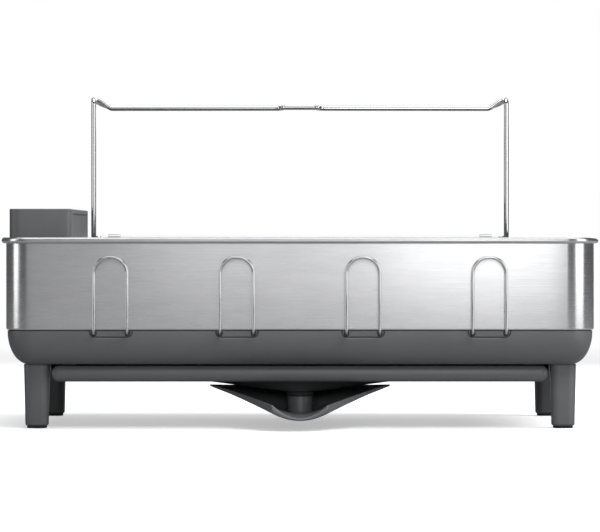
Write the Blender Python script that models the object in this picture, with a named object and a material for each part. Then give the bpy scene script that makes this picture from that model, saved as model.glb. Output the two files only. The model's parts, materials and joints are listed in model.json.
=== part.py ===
"""Countertop dish rack: a steel band on a plastic base with legs, a slide-out drip tray with a
swivelling spout, a fold-back stemware holder, a utensil caddy, a lift-out plate rack and four
cup loops. Metres, +Z up, the front faces -Y. Shapes are worked out in rack coordinates, whose
origin is on the surface under the middle of the steel band."""

import math

import bmesh
import bpy
import numpy as np

# Driving dimensions, all in metres
GAP = 0.0003                       # left between pieces that touch
PAST = 0.0020                      # how far a cutter passes the wall that it cuts

BAND_HALF_X, BAND_HALF_Y = 0.2777, 0.1750
BAND_CORNER = 0.027
BAND_BOTTOM, RIM_TOP = 0.0935, 0.1808
SHEET = 0.0010                     # thickness of the band's steel
BEAD = 0.0028                      # radius of the rolled rim
BEAD_OUT = 0.0016                  # how far the rim's centre stands out of the band's face
HEM = 0.0036                       # reach of the band's turned-in lower edge

BASE_INSET = 0.0013                # base inside the band's outer face
BASE_TOP, BASE_CURVE_TOP, BASE_BOTTOM = 0.1010, 0.0918, 0.0610
BASE_CURVE = 0.020                 # width of the quarter ellipse at the base's foot
BASE_WALL, BASE_FLOOR = 0.0050, 0.0030
INNER_THINNING = 0.3               # share of the wall lost where its inner face meets the floor
GROOVE_LOW, GROOVE_HIGH, GROOVE_DEPTH = 0.0932, 0.0952, 0.0026
SLOT_HALF_X, SLOT_HALF_Y, SLOT_PITCH, SLOTS_A_ROW = 0.004, 0.030, 0.060, 7
SLOT_ROWS_Y = (-0.075, 0.045)

LEG_X, LEG_Y = 0.2494, 0.1350
LEG_TOP_HALF, LEG_LOW_HALF, LEG_CORNER = 0.0122, 0.0109, 0.0060
FOOT_ROUND_IN, FOOT_ROUND_UP = 0.0011, 0.0022
PAD_TOP, PAD_IN = 0.0020, 0.0015
SCREW_SHANK, SCREW_HEAD, SCREW_CROWN, SCREW_LOW = 0.0015, 0.0040, 0.0026, 0.0450
HEAD_EDGE, HEAD_TOP = 0.0014, 0.0023    # heights over the floor that the head sits on
LEG_BORE, LEG_BORE_LOW, FLOOR_HOLE = 0.0018, 0.0430, 0.0021

LOOP_X = (-0.1778, -0.0593, 0.0593, 0.1778)
LOOP_WIRE, LOOP_SPACING, LOOP_TOP = 0.0028, 0.0314, 0.1620
LOOP_FOOT, LOOP_STANDOFF, LOOP_BEND = 0.0903, 0.0080, 0.0150
FOOT_BEND, FOOT_IN = 0.0040, 0.0050     # bend of a loop's foot, and how far it runs into the base
POCKET_WIDTH, POCKET_LOW, POCKET_DEPTH, POCKET_CORNER = 0.0393, 0.0870, 0.0022, 0.003
WIRE_HOLE_DEPTH = 0.0043

TRAY_HALF_X, TRAY_HALF_Y = 0.2345, 0.1462
TRAY_BODY_IN, TRAY_CORNER = 0.0055, 0.022
TRAY_TOP, TRAY_FLANGE_LOW, TRAY_LOW, TRAY_SKIN = 0.0595, 0.0550, 0.0470, 0.0022
TRAY_UNDER_IN, TRAY_UNDER_UP = 0.004, 0.003     # the bevel round the tray's underside
FASCIA_HALF_X, FASCIA_THICK, FASCIA_LOW = 0.2353, 0.0046, 0.0442
FASCIA_BACK, FASCIA_BLUNT = 0.0012, 0.8  # overlap with the pan, and the power that blunts its nose
FASCIA_ENDS = ((0.0, 0.45), (0.003, 0.85), (0.008, 1.0))     # distance from an end, and scale
RAIL_X, RAIL_LOW, RAIL_WEB, RAIL_SHELF = 0.2369, 0.0530, 0.0012, 0.0068
RAIL_FRONT, RAIL_BACK = -0.1400, 0.1420

DRAIN_Y = -0.0950                  # the drain tube, and the spout's pivot
FUNNEL_HALF_X, FUNNEL_BACK, FUNNEL_FRONT = 0.119, 0.030, 0.130
FUNNEL_RIM, FUNNEL_LOW, FUNNEL_THROAT = 0.0455, 0.0332, 0.0135
TUBE_OUT, TUBE_IN, TUBE_END = 0.0094, 0.0078, 0.0185
SEAL_OUT, SEAL_TOP, SEAL_LOW = 0.0130, 0.0329, 0.0291
SPOUT_REACH, SPOUT_BACK = 0.120, 0.062
WING_HALF, WING_TOP, WING_EDGE, SPOUT_BACK_DROP = 0.0863, 0.0397, 0.0014, 0.0030
LIP_HALF, LIP_TOP, LIP_LOW, LIP_SIDE = 0.0262, 0.0243, 0.0100, 0.0171
HUB_OUT, HUB_IN, HUB_GROOVE = 0.0122, 0.0098, 0.0109
SNAP_IN, SNAP_OUT, SNAP_LOW, SNAP_HIGH = 0.0091, 0.0104, 0.0225, 0.0240
SPOUT_SKIN, HUB_TOP, SPOUT_KEEL = 0.0026, 0.0288, 0.0116
SPOUT_SIDE_IN, SPOUT_BACK_SKIN, SPOUT_FLAT = 0.0016, 0.0032, 0.15
HUB_ROOT = SPOUT_KEEL + 0.0014
WINDOW_HALF, WINDOW_NEAR, WINDOW_FAR = 0.005, 0.008, 0.014
WINDOW_LOW, WINDOW_HIGH = SPOUT_KEEL + SPOUT_SKIN + 0.0006, SPOUT_KEEL + SPOUT_SKIN + 0.0056

CADDY_X, CADDY_Y = (-0.2752, -0.2162), (-0.1500, 0.1620)
CADDY_TOP, CADDY_STEP, CADDY_FLOOR, CADDY_WALL = 0.2078, 0.1052, 0.0672, 0.0020
CADDY_CORNERS = (0.011, 0.005)     # against the band, and towards the plates
CADDY_FOOT_IN, CADDY_SHOULDER_IN = 0.0235, 0.0055
CADDY_FEET_Y, CADDY_DRAINS_Y = (-0.095, 0.100), (-0.110, -0.075, -0.020, 0.020, 0.075, 0.110)
CADDY_FOOT_HALF_X, CADDY_FOOT_HALF_Y, CADDY_DRAIN_HALF_X, CADDY_DRAIN_HALF_Y = 0.012, 0.010, 0.016, 0.002
CADDY_MIDDLE_X = (CADDY_X[0] + CADDY_X[1]) / 2 + 0.010      # middle of its narrow floor
DIVIDERS_Y, DIVIDER_HALF, DIVIDER_DOWN = (-0.0480, 0.0540), 0.0008, 0.012
INSERT_LOW, INSERT_TOP = CADDY_TOP - 0.030, CADDY_TOP - 0.0030
SLITS, SLIT_FIRST, SLIT_PITCH, SLIT_HALF = 4, 0.014, 0.0245, 0.0026
SLIT_LEFT_IN, SLIT_RIGHT_IN = 0.009, 0.007
SNUG = 0.0005                      # how much sharper the insert's corners are than the caddy's inside

HOLDER_WIRE = 0.0049
HINGE_Y, HINGE_Z = 0.1680, 0.1796
BRACKET_NEAR, BRACKET_FAR, BRACKET_LOW, SHELF_FRONT = 0.1830, 0.2125, 0.1500, 0.1500
SHELF_SKIN, SHELF_ROOT, SHELF_SLOPE, BRACKET_SKIN = 0.0020, 0.0062, 0.0004, 0.0016
EYE_NEAR, EYE_FAR, EYE_RADIUS = 0.1835, 0.1955, 0.0044
BORE_NEAR, BORE_FAR, BORE_RADIUS = 0.1730, 0.2225, HOLDER_WIRE / 2 + 0.0004
UPRIGHT_X, UPRIGHT_Y, UPRIGHT_TOP = 0.2069, 0.0900, 0.3190
HOLDER_BEND, ARM_BEND = 0.006, 0.020
REAR_RAIL_Y, REAR_RAIL_Z = 0.1350, 0.3122
FRONT_RAIL_Y, FRONT_RAIL_Z = 0.1050, 0.3104
ENTRY_HALF, ENTRY_TURN, ENTRY_TIP, ENTRY_LIFT = 0.0168, 0.0080, 0.0040, 0.0010
RAIL_DROP_RUN, RAIL_DROP_START = 0.016, 0.0002   # the front rails ease down beside the uprights

PLATES_X, PLATES_Y = (-0.2030, 0.2440), (-0.1410, 0.0660)
PLATES_Z, PLATES_WIRE, TINE_WIRE = 0.0820, 0.0045, 0.0032
TINE_COUNT, TINE_PITCH, TINE_WIDTH, TINE_TOP = 11, 0.0290, 0.0130, 0.1480
TINE_ROWS_Y = (-0.0930, 0.0080)
CROSS_X = (-0.1500, -0.0500, 0.0500, 0.1500, 0.2050)
PLATES_CORNER, TINE_BEND, TINE_MARGIN = 0.020, 0.0045, 0.020
TINES_START_IN, TINES_END_IN, PLATE_FOOT_IN = 0.004, 0.070, 0.040
PLATE_FOOT_LOW, PLATE_FOOT_WIDE, PLATE_FOOT_TOP = 0.0042, 0.0052, 0.0045    # radii of a foot

FLOOR_TOP = BASE_BOTTOM + BASE_FLOOR
SPOUT_TIP_Y = DRAIN_Y - SPOUT_REACH
RIM_BACK_Y = BAND_HALF_Y + BEAD_OUT + BEAD
RACK_Y = -(SPOUT_TIP_Y + RIM_BACK_Y) / 2    # puts the whole rack's middle over the origin


# ---------------------------------------------------------------- helpers

def finish(name, colour, roughness, metallic=0.0):
    """A Principled material of one colour."""
    found = bpy.data.materials.get(name)
    if found:
        return found
    made = bpy.data.materials.new(name)
    made.use_nodes = True
    shader = made.node_tree.nodes["Principled BSDF"]
    shader.inputs["Base Color"].default_value = (*colour, 1.0)
    shader.inputs["Roughness"].default_value = roughness
    shader.inputs["Metallic"].default_value = metallic
    return made


def brushed():
    return finish("brushed_steel", (0.62, 0.62, 0.63), 0.32, 1.0)


def polished():
    return finish("polished_wire", (0.75, 0.75, 0.76), 0.12, 1.0)


def grey():
    return finish("grey_plastic", (0.115, 0.118, 0.122), 0.45)


def dark():
    return finish("dark_rubber", (0.03, 0.03, 0.032), 0.75)


def joint_empty(name, x, y, z):
    """An empty on a joint's axis, in rack coordinates."""
    empty = bpy.data.objects.new(name, None)
    empty.location = (x, y, z)
    empty.parent = rack
    bpy.context.scene.collection.objects.link(empty)
    return empty


def place(name, mesh, material, parent, smooth_angle=35):
    """Puts a mesh made in rack coordinates under the rack or under a joint's empty."""
    mesh.materials.append(material)
    if isinstance(mesh, bpy.types.Mesh):
        mesh.shade_smooth()
        mesh.set_sharp_from_angle(angle=math.radians(smooth_angle))
    obj = bpy.data.objects.new(name, mesh)
    bpy.context.scene.collection.objects.link(obj)
    obj.parent = parent
    while parent is not rack:
        obj.location -= parent.location
        parent = parent.parent
    return obj


def loft(name, rings, ring_closed=False):
    """A solid through rings of equal point counts. The rings follow the surface outwards and
    upwards; the ends are capped, or with ring_closed the last ring joins the first."""
    count = len(rings[0])
    mesh = bmesh.new()
    points = [[mesh.verts.new(point) for point in ring] for ring in rings]
    pairs = list(zip(points, points[1:] + points[:1] if ring_closed else points[1:]))
    for low, high in pairs:
        for i in range(count):
            j = (i + 1) % count
            mesh.faces.new((low[i], low[j], high[j], high[i]))
    if not ring_closed:
        mesh.faces.new(reversed(points[0]))
        mesh.faces.new(points[-1])
    bmesh.ops.recalc_face_normals(mesh, faces=mesh.faces)
    data = bpy.data.meshes.new(name)
    mesh.to_mesh(data)
    mesh.free()
    return data


def rounded_rectangle(low_x, high_x, low_y, high_y, radii, z, steps=6, between=(0, 0)):
    """Points of a rectangle with round corners, anticlockwise from the right rear corner.
    radii are those of the left side and of the right side; between is how many points are
    added on each straight run along X and along Y."""
    corners = ((high_x, high_y, radii[1]), (low_x, high_y, radii[0]),
               (low_x, low_y, radii[0]), (high_x, low_y, radii[1]))
    arcs = []
    for quarter, (x, y, radius) in enumerate(corners):
        centre_x = x - math.copysign(radius, x - (low_x + high_x) / 2)
        centre_y = y - math.copysign(radius, y - (low_y + high_y) / 2)
        turns = [(quarter + step / steps) * math.pi / 2 for step in range(steps + 1)]
        arcs.append([(centre_x + radius * math.cos(t), centre_y + radius * math.sin(t), z) for t in turns])
    points = []
    for quarter, arc in enumerate(arcs):
        start, end = np.array(arc[-1]), np.array(arcs[(quarter + 1) % 4][0])
        extra = between[quarter % 2]
        points += arc + [tuple(start + (end - start) * i / (extra + 1)) for i in range(1, extra + 1)]
    return points


def band_ring(offset, z, steps=6):
    """The band's outline, moved outwards by offset."""
    half_x, half_y, radius = BAND_HALF_X + offset, BAND_HALF_Y + offset, BAND_CORNER + offset
    return rounded_rectangle(-half_x, half_x, -half_y, half_y, (radius, radius), z, steps)


def square_ring(x, y, half, radius, z, steps=3):
    return rounded_rectangle(x - half, x + half, y - half, y + half, (radius, radius), z, steps)


def circle(x, y, z, radius, count, axis="Z"):
    """Points of a circle about a line along Z or X."""
    turns = [2 * math.pi * i / count for i in range(count)]
    if axis == "X":
        return [(x, y + radius * math.cos(t), z + radius * math.sin(t)) for t in turns]
    return [(x + radius * math.cos(t), y + radius * math.sin(t), z) for t in turns]


def turned(name, x, y, profile, count=16):
    """A solid of revolution about a vertical line, from (radius, z) pairs, bottom to top."""
    return loft(name, [circle(x, y, z, radius, count) for radius, z in profile])


def turned_ring(name, x, y, profile, count=20):
    """A turned ring with a hole: its closed profile runs round the section."""
    return loft(name, [circle(x, y, z, radius, count) for radius, z in profile], ring_closed=True)


def block(name, low, high):
    """A plain box between two corners."""
    ring = [(low[0], low[1]), (high[0], low[1]), (high[0], high[1]), (low[0], high[1])]
    return loft(name, [[(x, y, low[2]) for x, y in ring], [(x, y, high[2]) for x, y in ring]])


def extruded_x(name, outline, low_x, high_x):
    """A (y, z) outline carried along X."""
    return loft(name, [[(low_x, y, z) for y, z in outline], [(high_x, y, z) for y, z in outline]])


def extruded_y(name, outline, low_y, high_y):
    """An (x, z) outline carried along Y."""
    return loft(name, [[(x, low_y, z) for x, z in outline], [(x, high_y, z) for x, z in outline]])


def bent(corners, radii, steps=4):
    """A wire's centreline: straight runs between corners, with an arc at each inner corner."""
    corners = [np.array(corner, float) for corner in corners]
    if isinstance(radii, float):
        radii = [radii] * (len(corners) - 2)
    line = [corners[0]]
    for before, corner, after, radius in zip(corners, corners[1:], corners[2:], radii):
        into = (corner - before) / np.linalg.norm(corner - before)
        out = (after - corner) / np.linalg.norm(after - corner)
        turn = math.acos(float(np.clip(into @ out, -1, 1)))
        reach = radius * math.tan(turn / 2)
        across = out - into * math.cos(turn)
        across /= np.linalg.norm(across)
        start = corner - into * reach
        for step in range(steps + 1):
            angle = turn * step / steps
            line.append(start + radius * (math.sin(angle) * into + (1 - math.cos(angle)) * across))
    line.append(corners[-1])
    return line


def wire(name, line, diameter, material, parent, closed=False, resolution=2):
    """A round wire along a line of points, as a curve with a round bevel and closed ends."""
    curve = bpy.data.curves.new(name, "CURVE")
    curve.dimensions = "3D"
    curve.bevel_depth = diameter / 2
    curve.bevel_resolution = resolution
    curve.use_fill_caps = True
    spline = curve.splines.new("POLY")
    spline.points.add(len(line) - 1)
    for point, place_at in zip(spline.points, line):
        point.co = (*place_at, 1.0)
    spline.use_cyclic_u = closed
    return place(name, curve, material, parent)


def hidden(name, mesh, parent):
    """A helper that cuts or joins, and is no piece itself."""
    helper = place(name, mesh, grey(), parent)
    helper.hide_render = True
    helper.display_type = "WIRE"
    return helper


def boolean(obj, mesh, operation):
    """Cuts a mesh from a piece, or joins it on."""
    count = len([modifier for modifier in obj.modifiers if modifier.type == "BOOLEAN"])
    helper = hidden(f"{obj.name}_{operation.lower()}_{count + 1}", mesh, obj.parent)
    modifier = obj.modifiers.new(f"{operation.lower()}_{count + 1}", "BOOLEAN")
    modifier.operation = operation
    modifier.object = helper
    modifier.solver = "EXACT"


def smoothstep(t):
    t = min(max(t, 0.0), 1.0)
    return t * t * (3 - 2 * t)


# ---------------------------------------------------------------- steel band and base

def steel_band():
    """The sheet ring: a wall with a turned-in lower edge and a rolled rim."""
    bead_z = RIM_TOP - BEAD
    wall_meets = bead_z - math.sqrt(BEAD**2 - BEAD_OUT**2)
    section = [(-SHEET, BAND_BOTTOM + SHEET), (-HEM, BAND_BOTTOM + SHEET), (-HEM, BAND_BOTTOM),
               (0.0, BAND_BOTTOM), (0.0, wall_meets)]
    first = math.atan2(wall_meets - bead_z, -BEAD_OUT)
    last = 2 * math.pi - math.acos(-(BEAD_OUT + SHEET) / BEAD)
    for step in range(1, 11):
        turn = first + (last - first) * step / 10
        section.append((BEAD_OUT + BEAD * math.cos(turn), bead_z + BEAD * math.sin(turn)))
    rings = [band_ring(offset, z) for offset, z in section]
    return place("steel_band", loft("steel_band", rings, True), brushed(), rack, 50)


def base_tub():
    """The plastic base: curved-in foot, groove for the band's edge, drained floor."""
    def at(offset, z):
        return band_ring(offset - BASE_INSET, z)

    height = BASE_CURVE_TOP - BASE_BOTTOM
    rings = []
    for step in range(6):
        turn = math.pi / 2 * (1 - step / 5)
        rings.append(at(BASE_CURVE * (math.cos(turn) - 1), BASE_CURVE_TOP - height * math.sin(turn)))
    rings += [at(0, GROOVE_LOW), at(-GROOVE_DEPTH, GROOVE_LOW), at(-GROOVE_DEPTH, GROOVE_HIGH),
              at(0, GROOVE_HIGH), at(0, BASE_TOP), at(-BASE_WALL, BASE_TOP)]
    inner_height = BASE_CURVE_TOP - FLOOR_TOP
    for step in range(5):
        turn = math.pi / 2 * step / 4
        rings.append(at(BASE_CURVE * (math.cos(turn) - 1) - BASE_WALL * (1 - INNER_THINNING * step / 4),
                        BASE_CURVE_TOP - inner_height * math.sin(turn)))
    base = place("base_tub", loft("base_tub", rings), grey(), rack)

    front = -(BAND_HALF_Y - BASE_INSET)
    for centre in LOOP_X:
        half = POCKET_WIDTH / 2
        low, high, corner = POCKET_LOW, BASE_CURVE_TOP + 2 * PAST, POCKET_CORNER
        outline = [(centre - half, high), (centre - half, low + corner), (centre - half + corner, low),
                   (centre + half - corner, low), (centre + half, low + corner), (centre + half, high)]
        boolean(base, extruded_y("pocket", outline, front - 2 * PAST, front + POCKET_DEPTH), "DIFFERENCE")
        for side in (-1, 1):
            hole = [(x, z) for _, x, z in circle(0, centre + side * LOOP_SPACING / 2, LOOP_FOOT,
                                                 LOOP_WIRE / 2 + GAP, 8, "X")]
            boolean(base, extruded_y("wire_hole", hole, front, front + WIRE_HOLE_DEPTH), "DIFFERENCE")
    for x in (-LEG_X, LEG_X):
        for y in (-LEG_Y, LEG_Y):
            hole = [(FLOOR_HOLE, BASE_BOTTOM - PAST), (FLOOR_HOLE, FLOOR_TOP + PAST)]
            boolean(base, turned("screw_hole", x, y, hole, 8), "DIFFERENCE")
    for row in SLOT_ROWS_Y:
        for column in range(SLOTS_A_ROW):
            x = (column - SLOTS_A_ROW // 2) * SLOT_PITCH
            slot = block("drain_slot", (x - SLOT_HALF_X, row - SLOT_HALF_Y, BASE_BOTTOM - PAST),
                         (x + SLOT_HALF_X, row + SLOT_HALF_Y, FLOOR_TOP + PAST))
            boolean(base, slot, "DIFFERENCE")
    return base


def legs():
    """Four tapered legs with rubber pads, each held by a screw through the base's floor."""
    for end, y in (("front", -LEG_Y), ("rear", LEG_Y)):
        for side, x in (("left", -LEG_X), ("right", LEG_X)):
            foot_half, foot_corner = LEG_LOW_HALF - FOOT_ROUND_IN, LEG_CORNER - FOOT_ROUND_IN
            rings = [square_ring(x, y, foot_half, foot_corner, PAD_TOP + GAP),
                     square_ring(x, y, LEG_LOW_HALF, LEG_CORNER, PAD_TOP + FOOT_ROUND_UP),
                     square_ring(x, y, LEG_TOP_HALF, LEG_CORNER, BASE_BOTTOM - GAP)]
            leg = place(f"leg_{end}_{side}", loft("leg", rings), grey(), rack)
            bore = turned("bore", x, y, [(LEG_BORE, LEG_BORE_LOW), (LEG_BORE, BASE_BOTTOM + PAST)], 8)
            boolean(leg, bore, "DIFFERENCE")
            pad = [square_ring(x, y, LEG_LOW_HALF - PAD_IN, LEG_CORNER - PAD_IN, z) for z in (0.0, PAD_TOP)]
            place(f"foot_pad_{end}_{side}", loft("foot_pad", pad), dark(), rack)
            seat = FLOOR_TOP + GAP
            screw = [(SCREW_SHANK, SCREW_LOW), (SCREW_SHANK, seat), (SCREW_HEAD, seat),
                     (SCREW_HEAD, seat + HEAD_EDGE), (SCREW_CROWN, seat + HEAD_TOP)]
            place(f"leg_screw_{end}_{side}", turned("leg_screw", x, y, screw, 10), polished(), rack)


def cup_loops():
    """Four upright wire loops in front of the band, their feet bent back into the base."""
    front = -BAND_HALF_Y
    for number, centre in enumerate(LOOP_X, 1):
        low_x, high_x = centre - LOOP_SPACING / 2, centre + LOOP_SPACING / 2
        out, foot = front - LOOP_STANDOFF, front + FOOT_IN
        corners = [(low_x, foot, LOOP_FOOT), (low_x, out, LOOP_FOOT), (low_x, out, LOOP_TOP),
                   (high_x, out, LOOP_TOP), (high_x, out, LOOP_FOOT), (high_x, foot, LOOP_FOOT)]
        line = bent(corners, [FOOT_BEND, LOOP_BEND, LOOP_BEND, FOOT_BEND], 5)
        wire(f"cup_loop_{number}", line, LOOP_WIRE, polished(), rack)


# ---------------------------------------------------------------- drip tray and spout

def tray_rails():
    """An angle under each side of the base, which the tray's flange slides on."""
    for side, sign in (("left", -1), ("right", 1)):
        web, shelf, top = RAIL_X - RAIL_WEB, RAIL_X - RAIL_SHELF, BASE_BOTTOM - GAP
        outline = [(RAIL_X, RAIL_LOW), (RAIL_X, top), (web, top), (web, RAIL_LOW + RAIL_WEB),
                   (shelf, RAIL_LOW + RAIL_WEB), (shelf, RAIL_LOW)]
        outline = [(sign * x, z) for x, z in outline]
        place(f"tray_rail_{side}", extruded_y("tray_rail", outline, RAIL_FRONT, RAIL_BACK), grey(), rack)


def tray_outline(inset, z):
    half_x, half_y, radius = TRAY_HALF_X - inset, TRAY_HALF_Y - inset, TRAY_CORNER - inset
    return rounded_rectangle(-half_x, half_x, -half_y, half_y, (radius, radius), z, 3, (5, 3))


def funnel_ring(z, throat, share):
    """A ring between the funnel's oval rim (share 0) and its round throat (share 1)."""
    ring = []
    centre_y, half_y = (FUNNEL_BACK - FUNNEL_FRONT) / 2, (FUNNEL_BACK + FUNNEL_FRONT) / 2
    for x, y, _ in tray_outline(0, 0):
        turn = math.atan2(y / TRAY_HALF_Y, x / TRAY_HALF_X)
        oval = (FUNNEL_HALF_X * math.cos(turn), centre_y + half_y * math.sin(turn))
        hole = (throat * math.cos(turn), DRAIN_Y + throat * math.sin(turn))
        ring.append((oval[0] + (hole[0] - oval[0]) * share, oval[1] + (hole[1] - oval[1]) * share, z))
    return ring


def drip_tray():
    """A shallow pan whose floor runs to a drain tube, with a rounded front fascia."""
    body, skin = TRAY_BODY_IN, TRAY_SKIN
    rings = [funnel_ring(TUBE_END, TUBE_OUT, 1), funnel_ring(SNAP_LOW - GAP, TUBE_OUT, 1),
             funnel_ring(SNAP_LOW - GAP, SNAP_IN - GAP, 1), funnel_ring(SNAP_HIGH + GAP, SNAP_IN - GAP, 1),
             funnel_ring(SNAP_HIGH + GAP, TUBE_OUT, 1), funnel_ring(FUNNEL_LOW, TUBE_OUT, 1),
             funnel_ring(FUNNEL_LOW, FUNNEL_THROAT, 1), funnel_ring(FUNNEL_RIM, FUNNEL_THROAT, 0),
             tray_outline(body + TRAY_UNDER_IN, TRAY_LOW), tray_outline(body, TRAY_LOW + TRAY_UNDER_UP),
             tray_outline(body, TRAY_FLANGE_LOW), tray_outline(0, TRAY_FLANGE_LOW),
             tray_outline(0, TRAY_TOP - 0.001), tray_outline(body + 0.001, TRAY_TOP - 0.001),
             tray_outline(body + 0.002, TRAY_LOW + 0.0045), tray_outline(body + 0.005, TRAY_LOW + skin),
             funnel_ring(FUNNEL_RIM + skin, FUNNEL_THROAT, 0),
             funnel_ring(FUNNEL_LOW + skin, TUBE_IN, 1), funnel_ring(TUBE_END, TUBE_IN, 1)]
    tray = place("drip_tray", loft("drip_tray", rings, True), grey(), tray_empty)
    front = -TRAY_HALF_Y
    middle = (TRAY_TOP + FASCIA_LOW) / 2
    half = (TRAY_TOP - FASCIA_LOW) / 2
    back = front + FASCIA_BACK
    bulge = [(front - FASCIA_THICK * math.cos(t) ** FASCIA_BLUNT, middle + half * math.sin(t))
             for t in np.radians([-80, -55, -30, -5, 20, 45, 65, 80])]
    outline = [(back, FASCIA_LOW)] + bulge + [(back, TRAY_TOP)]
    left_end = [(-FASCIA_HALF_X + distance, scale) for distance, scale in FASCIA_ENDS]
    right_end = [(-x, scale) for x, scale in reversed(left_end)]
    sections = [[(x, back + (y - back) * scale, middle + (z - middle) * scale) for y, z in outline]
                for x, scale in left_end + right_end]
    boolean(tray, loft("fascia", sections), "UNION")
    seal_in = TUBE_OUT + GAP
    seal = [(seal_in, SEAL_LOW), (SEAL_OUT, SEAL_LOW), (SEAL_OUT, SEAL_TOP), (seal_in, SEAL_TOP)]
    place("drain_seal", turned_ring("drain_seal", 0, DRAIN_Y, seal), dark(), tray_empty)
    snap = [(SNAP_IN, SNAP_LOW), (SNAP_OUT, SNAP_LOW), (SNAP_OUT, SNAP_HIGH), (SNAP_IN, SNAP_HIGH)]
    place("spout_snap_ring", turned_ring("spout_snap_ring", 0, DRAIN_Y, snap), polished(), tray_empty)


def spout_section(u, lower):
    """One cross-section of the spout, u ahead of its pivot, as points from rim to rim."""
    ahead = max(u, 0.0) / SPOUT_REACH
    behind = max(-u, 0.0) / SPOUT_BACK
    half = WING_HALF + (LIP_HALF - WING_HALF) * ahead ** 0.9
    half *= math.sqrt(max(1 - (0.985 * behind) ** 2, 0.0))
    rim = WING_TOP + (LIP_TOP - WING_TOP) * ahead - SPOUT_BACK_DROP * behind ** 1.5
    side = rim - WING_EDGE - (LIP_TOP - LIP_SIDE - WING_EDGE) * ahead
    keel = SPOUT_KEEL + (LIP_LOW - SPOUT_KEEL) * ahead
    keel += (rim - SPOUT_BACK_SKIN - keel) * behind ** 2.2
    flat = SPOUT_FLAT * (1 - ahead)
    points = []
    count = 13
    for i in range(count):
        s = 2 * i / (count - 1) - 1
        bowl = (max(abs(s) - flat, 0) / (1 - flat)) ** (1.1 + 0.9 * ahead**2)
        if lower:
            z = keel + (side - keel) * bowl
        else:
            floor_z = keel + SPOUT_SKIN
            z = floor_z + (rim - floor_z) * bowl
        width = half if lower else half - SPOUT_SIDE_IN
        points.append((s * width, DRAIN_Y - u, min(z, rim)))
    return points


def spout():
    """A shallow scoop with a U-shaped lip, hung on the tray's drain tube by its hub."""
    stations = [-SPOUT_BACK, -0.052, -0.036, -0.018, 0.0, 0.024, 0.048, 0.072, 0.096, SPOUT_REACH]
    rings = []
    for u in stations:
        low, high = spout_section(u, True), spout_section(u, False)
        rim = max(point[2] for point in high)
        left = (low[0][0], low[0][1], rim)
        right = (low[-1][0], low[-1][1], rim)
        rings.append(low + [right] + high[::-1] + [left])
    scoop = place("spout", loft("spout", rings), grey(), spout_empty)
    hub = [(HUB_IN, HUB_ROOT), (HUB_OUT, HUB_ROOT), (HUB_OUT, HUB_TOP), (HUB_IN, HUB_TOP),
           (HUB_IN, SNAP_HIGH + 2 * GAP), (HUB_GROOVE, SNAP_HIGH + 2 * GAP),
           (HUB_GROOVE, SNAP_LOW - 2 * GAP), (HUB_IN, SNAP_LOW - 2 * GAP)]
    boolean(scoop, turned_ring("hub", 0, DRAIN_Y, hub), "UNION")
    for sign in (-1, 1):
        near, far = sorted((sign * WINDOW_NEAR, sign * WINDOW_FAR))
        window = block("window", (near, DRAIN_Y - WINDOW_HALF, WINDOW_LOW),
                       (far, DRAIN_Y + WINDOW_HALF, WINDOW_HIGH))
        boolean(scoop, window, "DIFFERENCE")
    window = block("window", (-WINDOW_HALF, DRAIN_Y + WINDOW_NEAR, WINDOW_LOW),
                   (WINDOW_HALF, DRAIN_Y + WINDOW_FAR, WINDOW_HIGH))
    boolean(scoop, window, "DIFFERENCE")


# ---------------------------------------------------------------- caddy

def caddy_ring(inset, z, foot=0.0):
    """The caddy's outline, inset all round; foot pulls in the side and ends that meet the base."""
    (low_x, high_x), (low_y, high_y) = CADDY_X, CADDY_Y
    return rounded_rectangle(low_x + inset + foot, high_x - inset, low_y + inset + foot * 0.5,
                             high_y - inset - foot * 0.8,
                             (CADDY_CORNERS[0] - inset, CADDY_CORNERS[1] - inset), z, 4)


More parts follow.
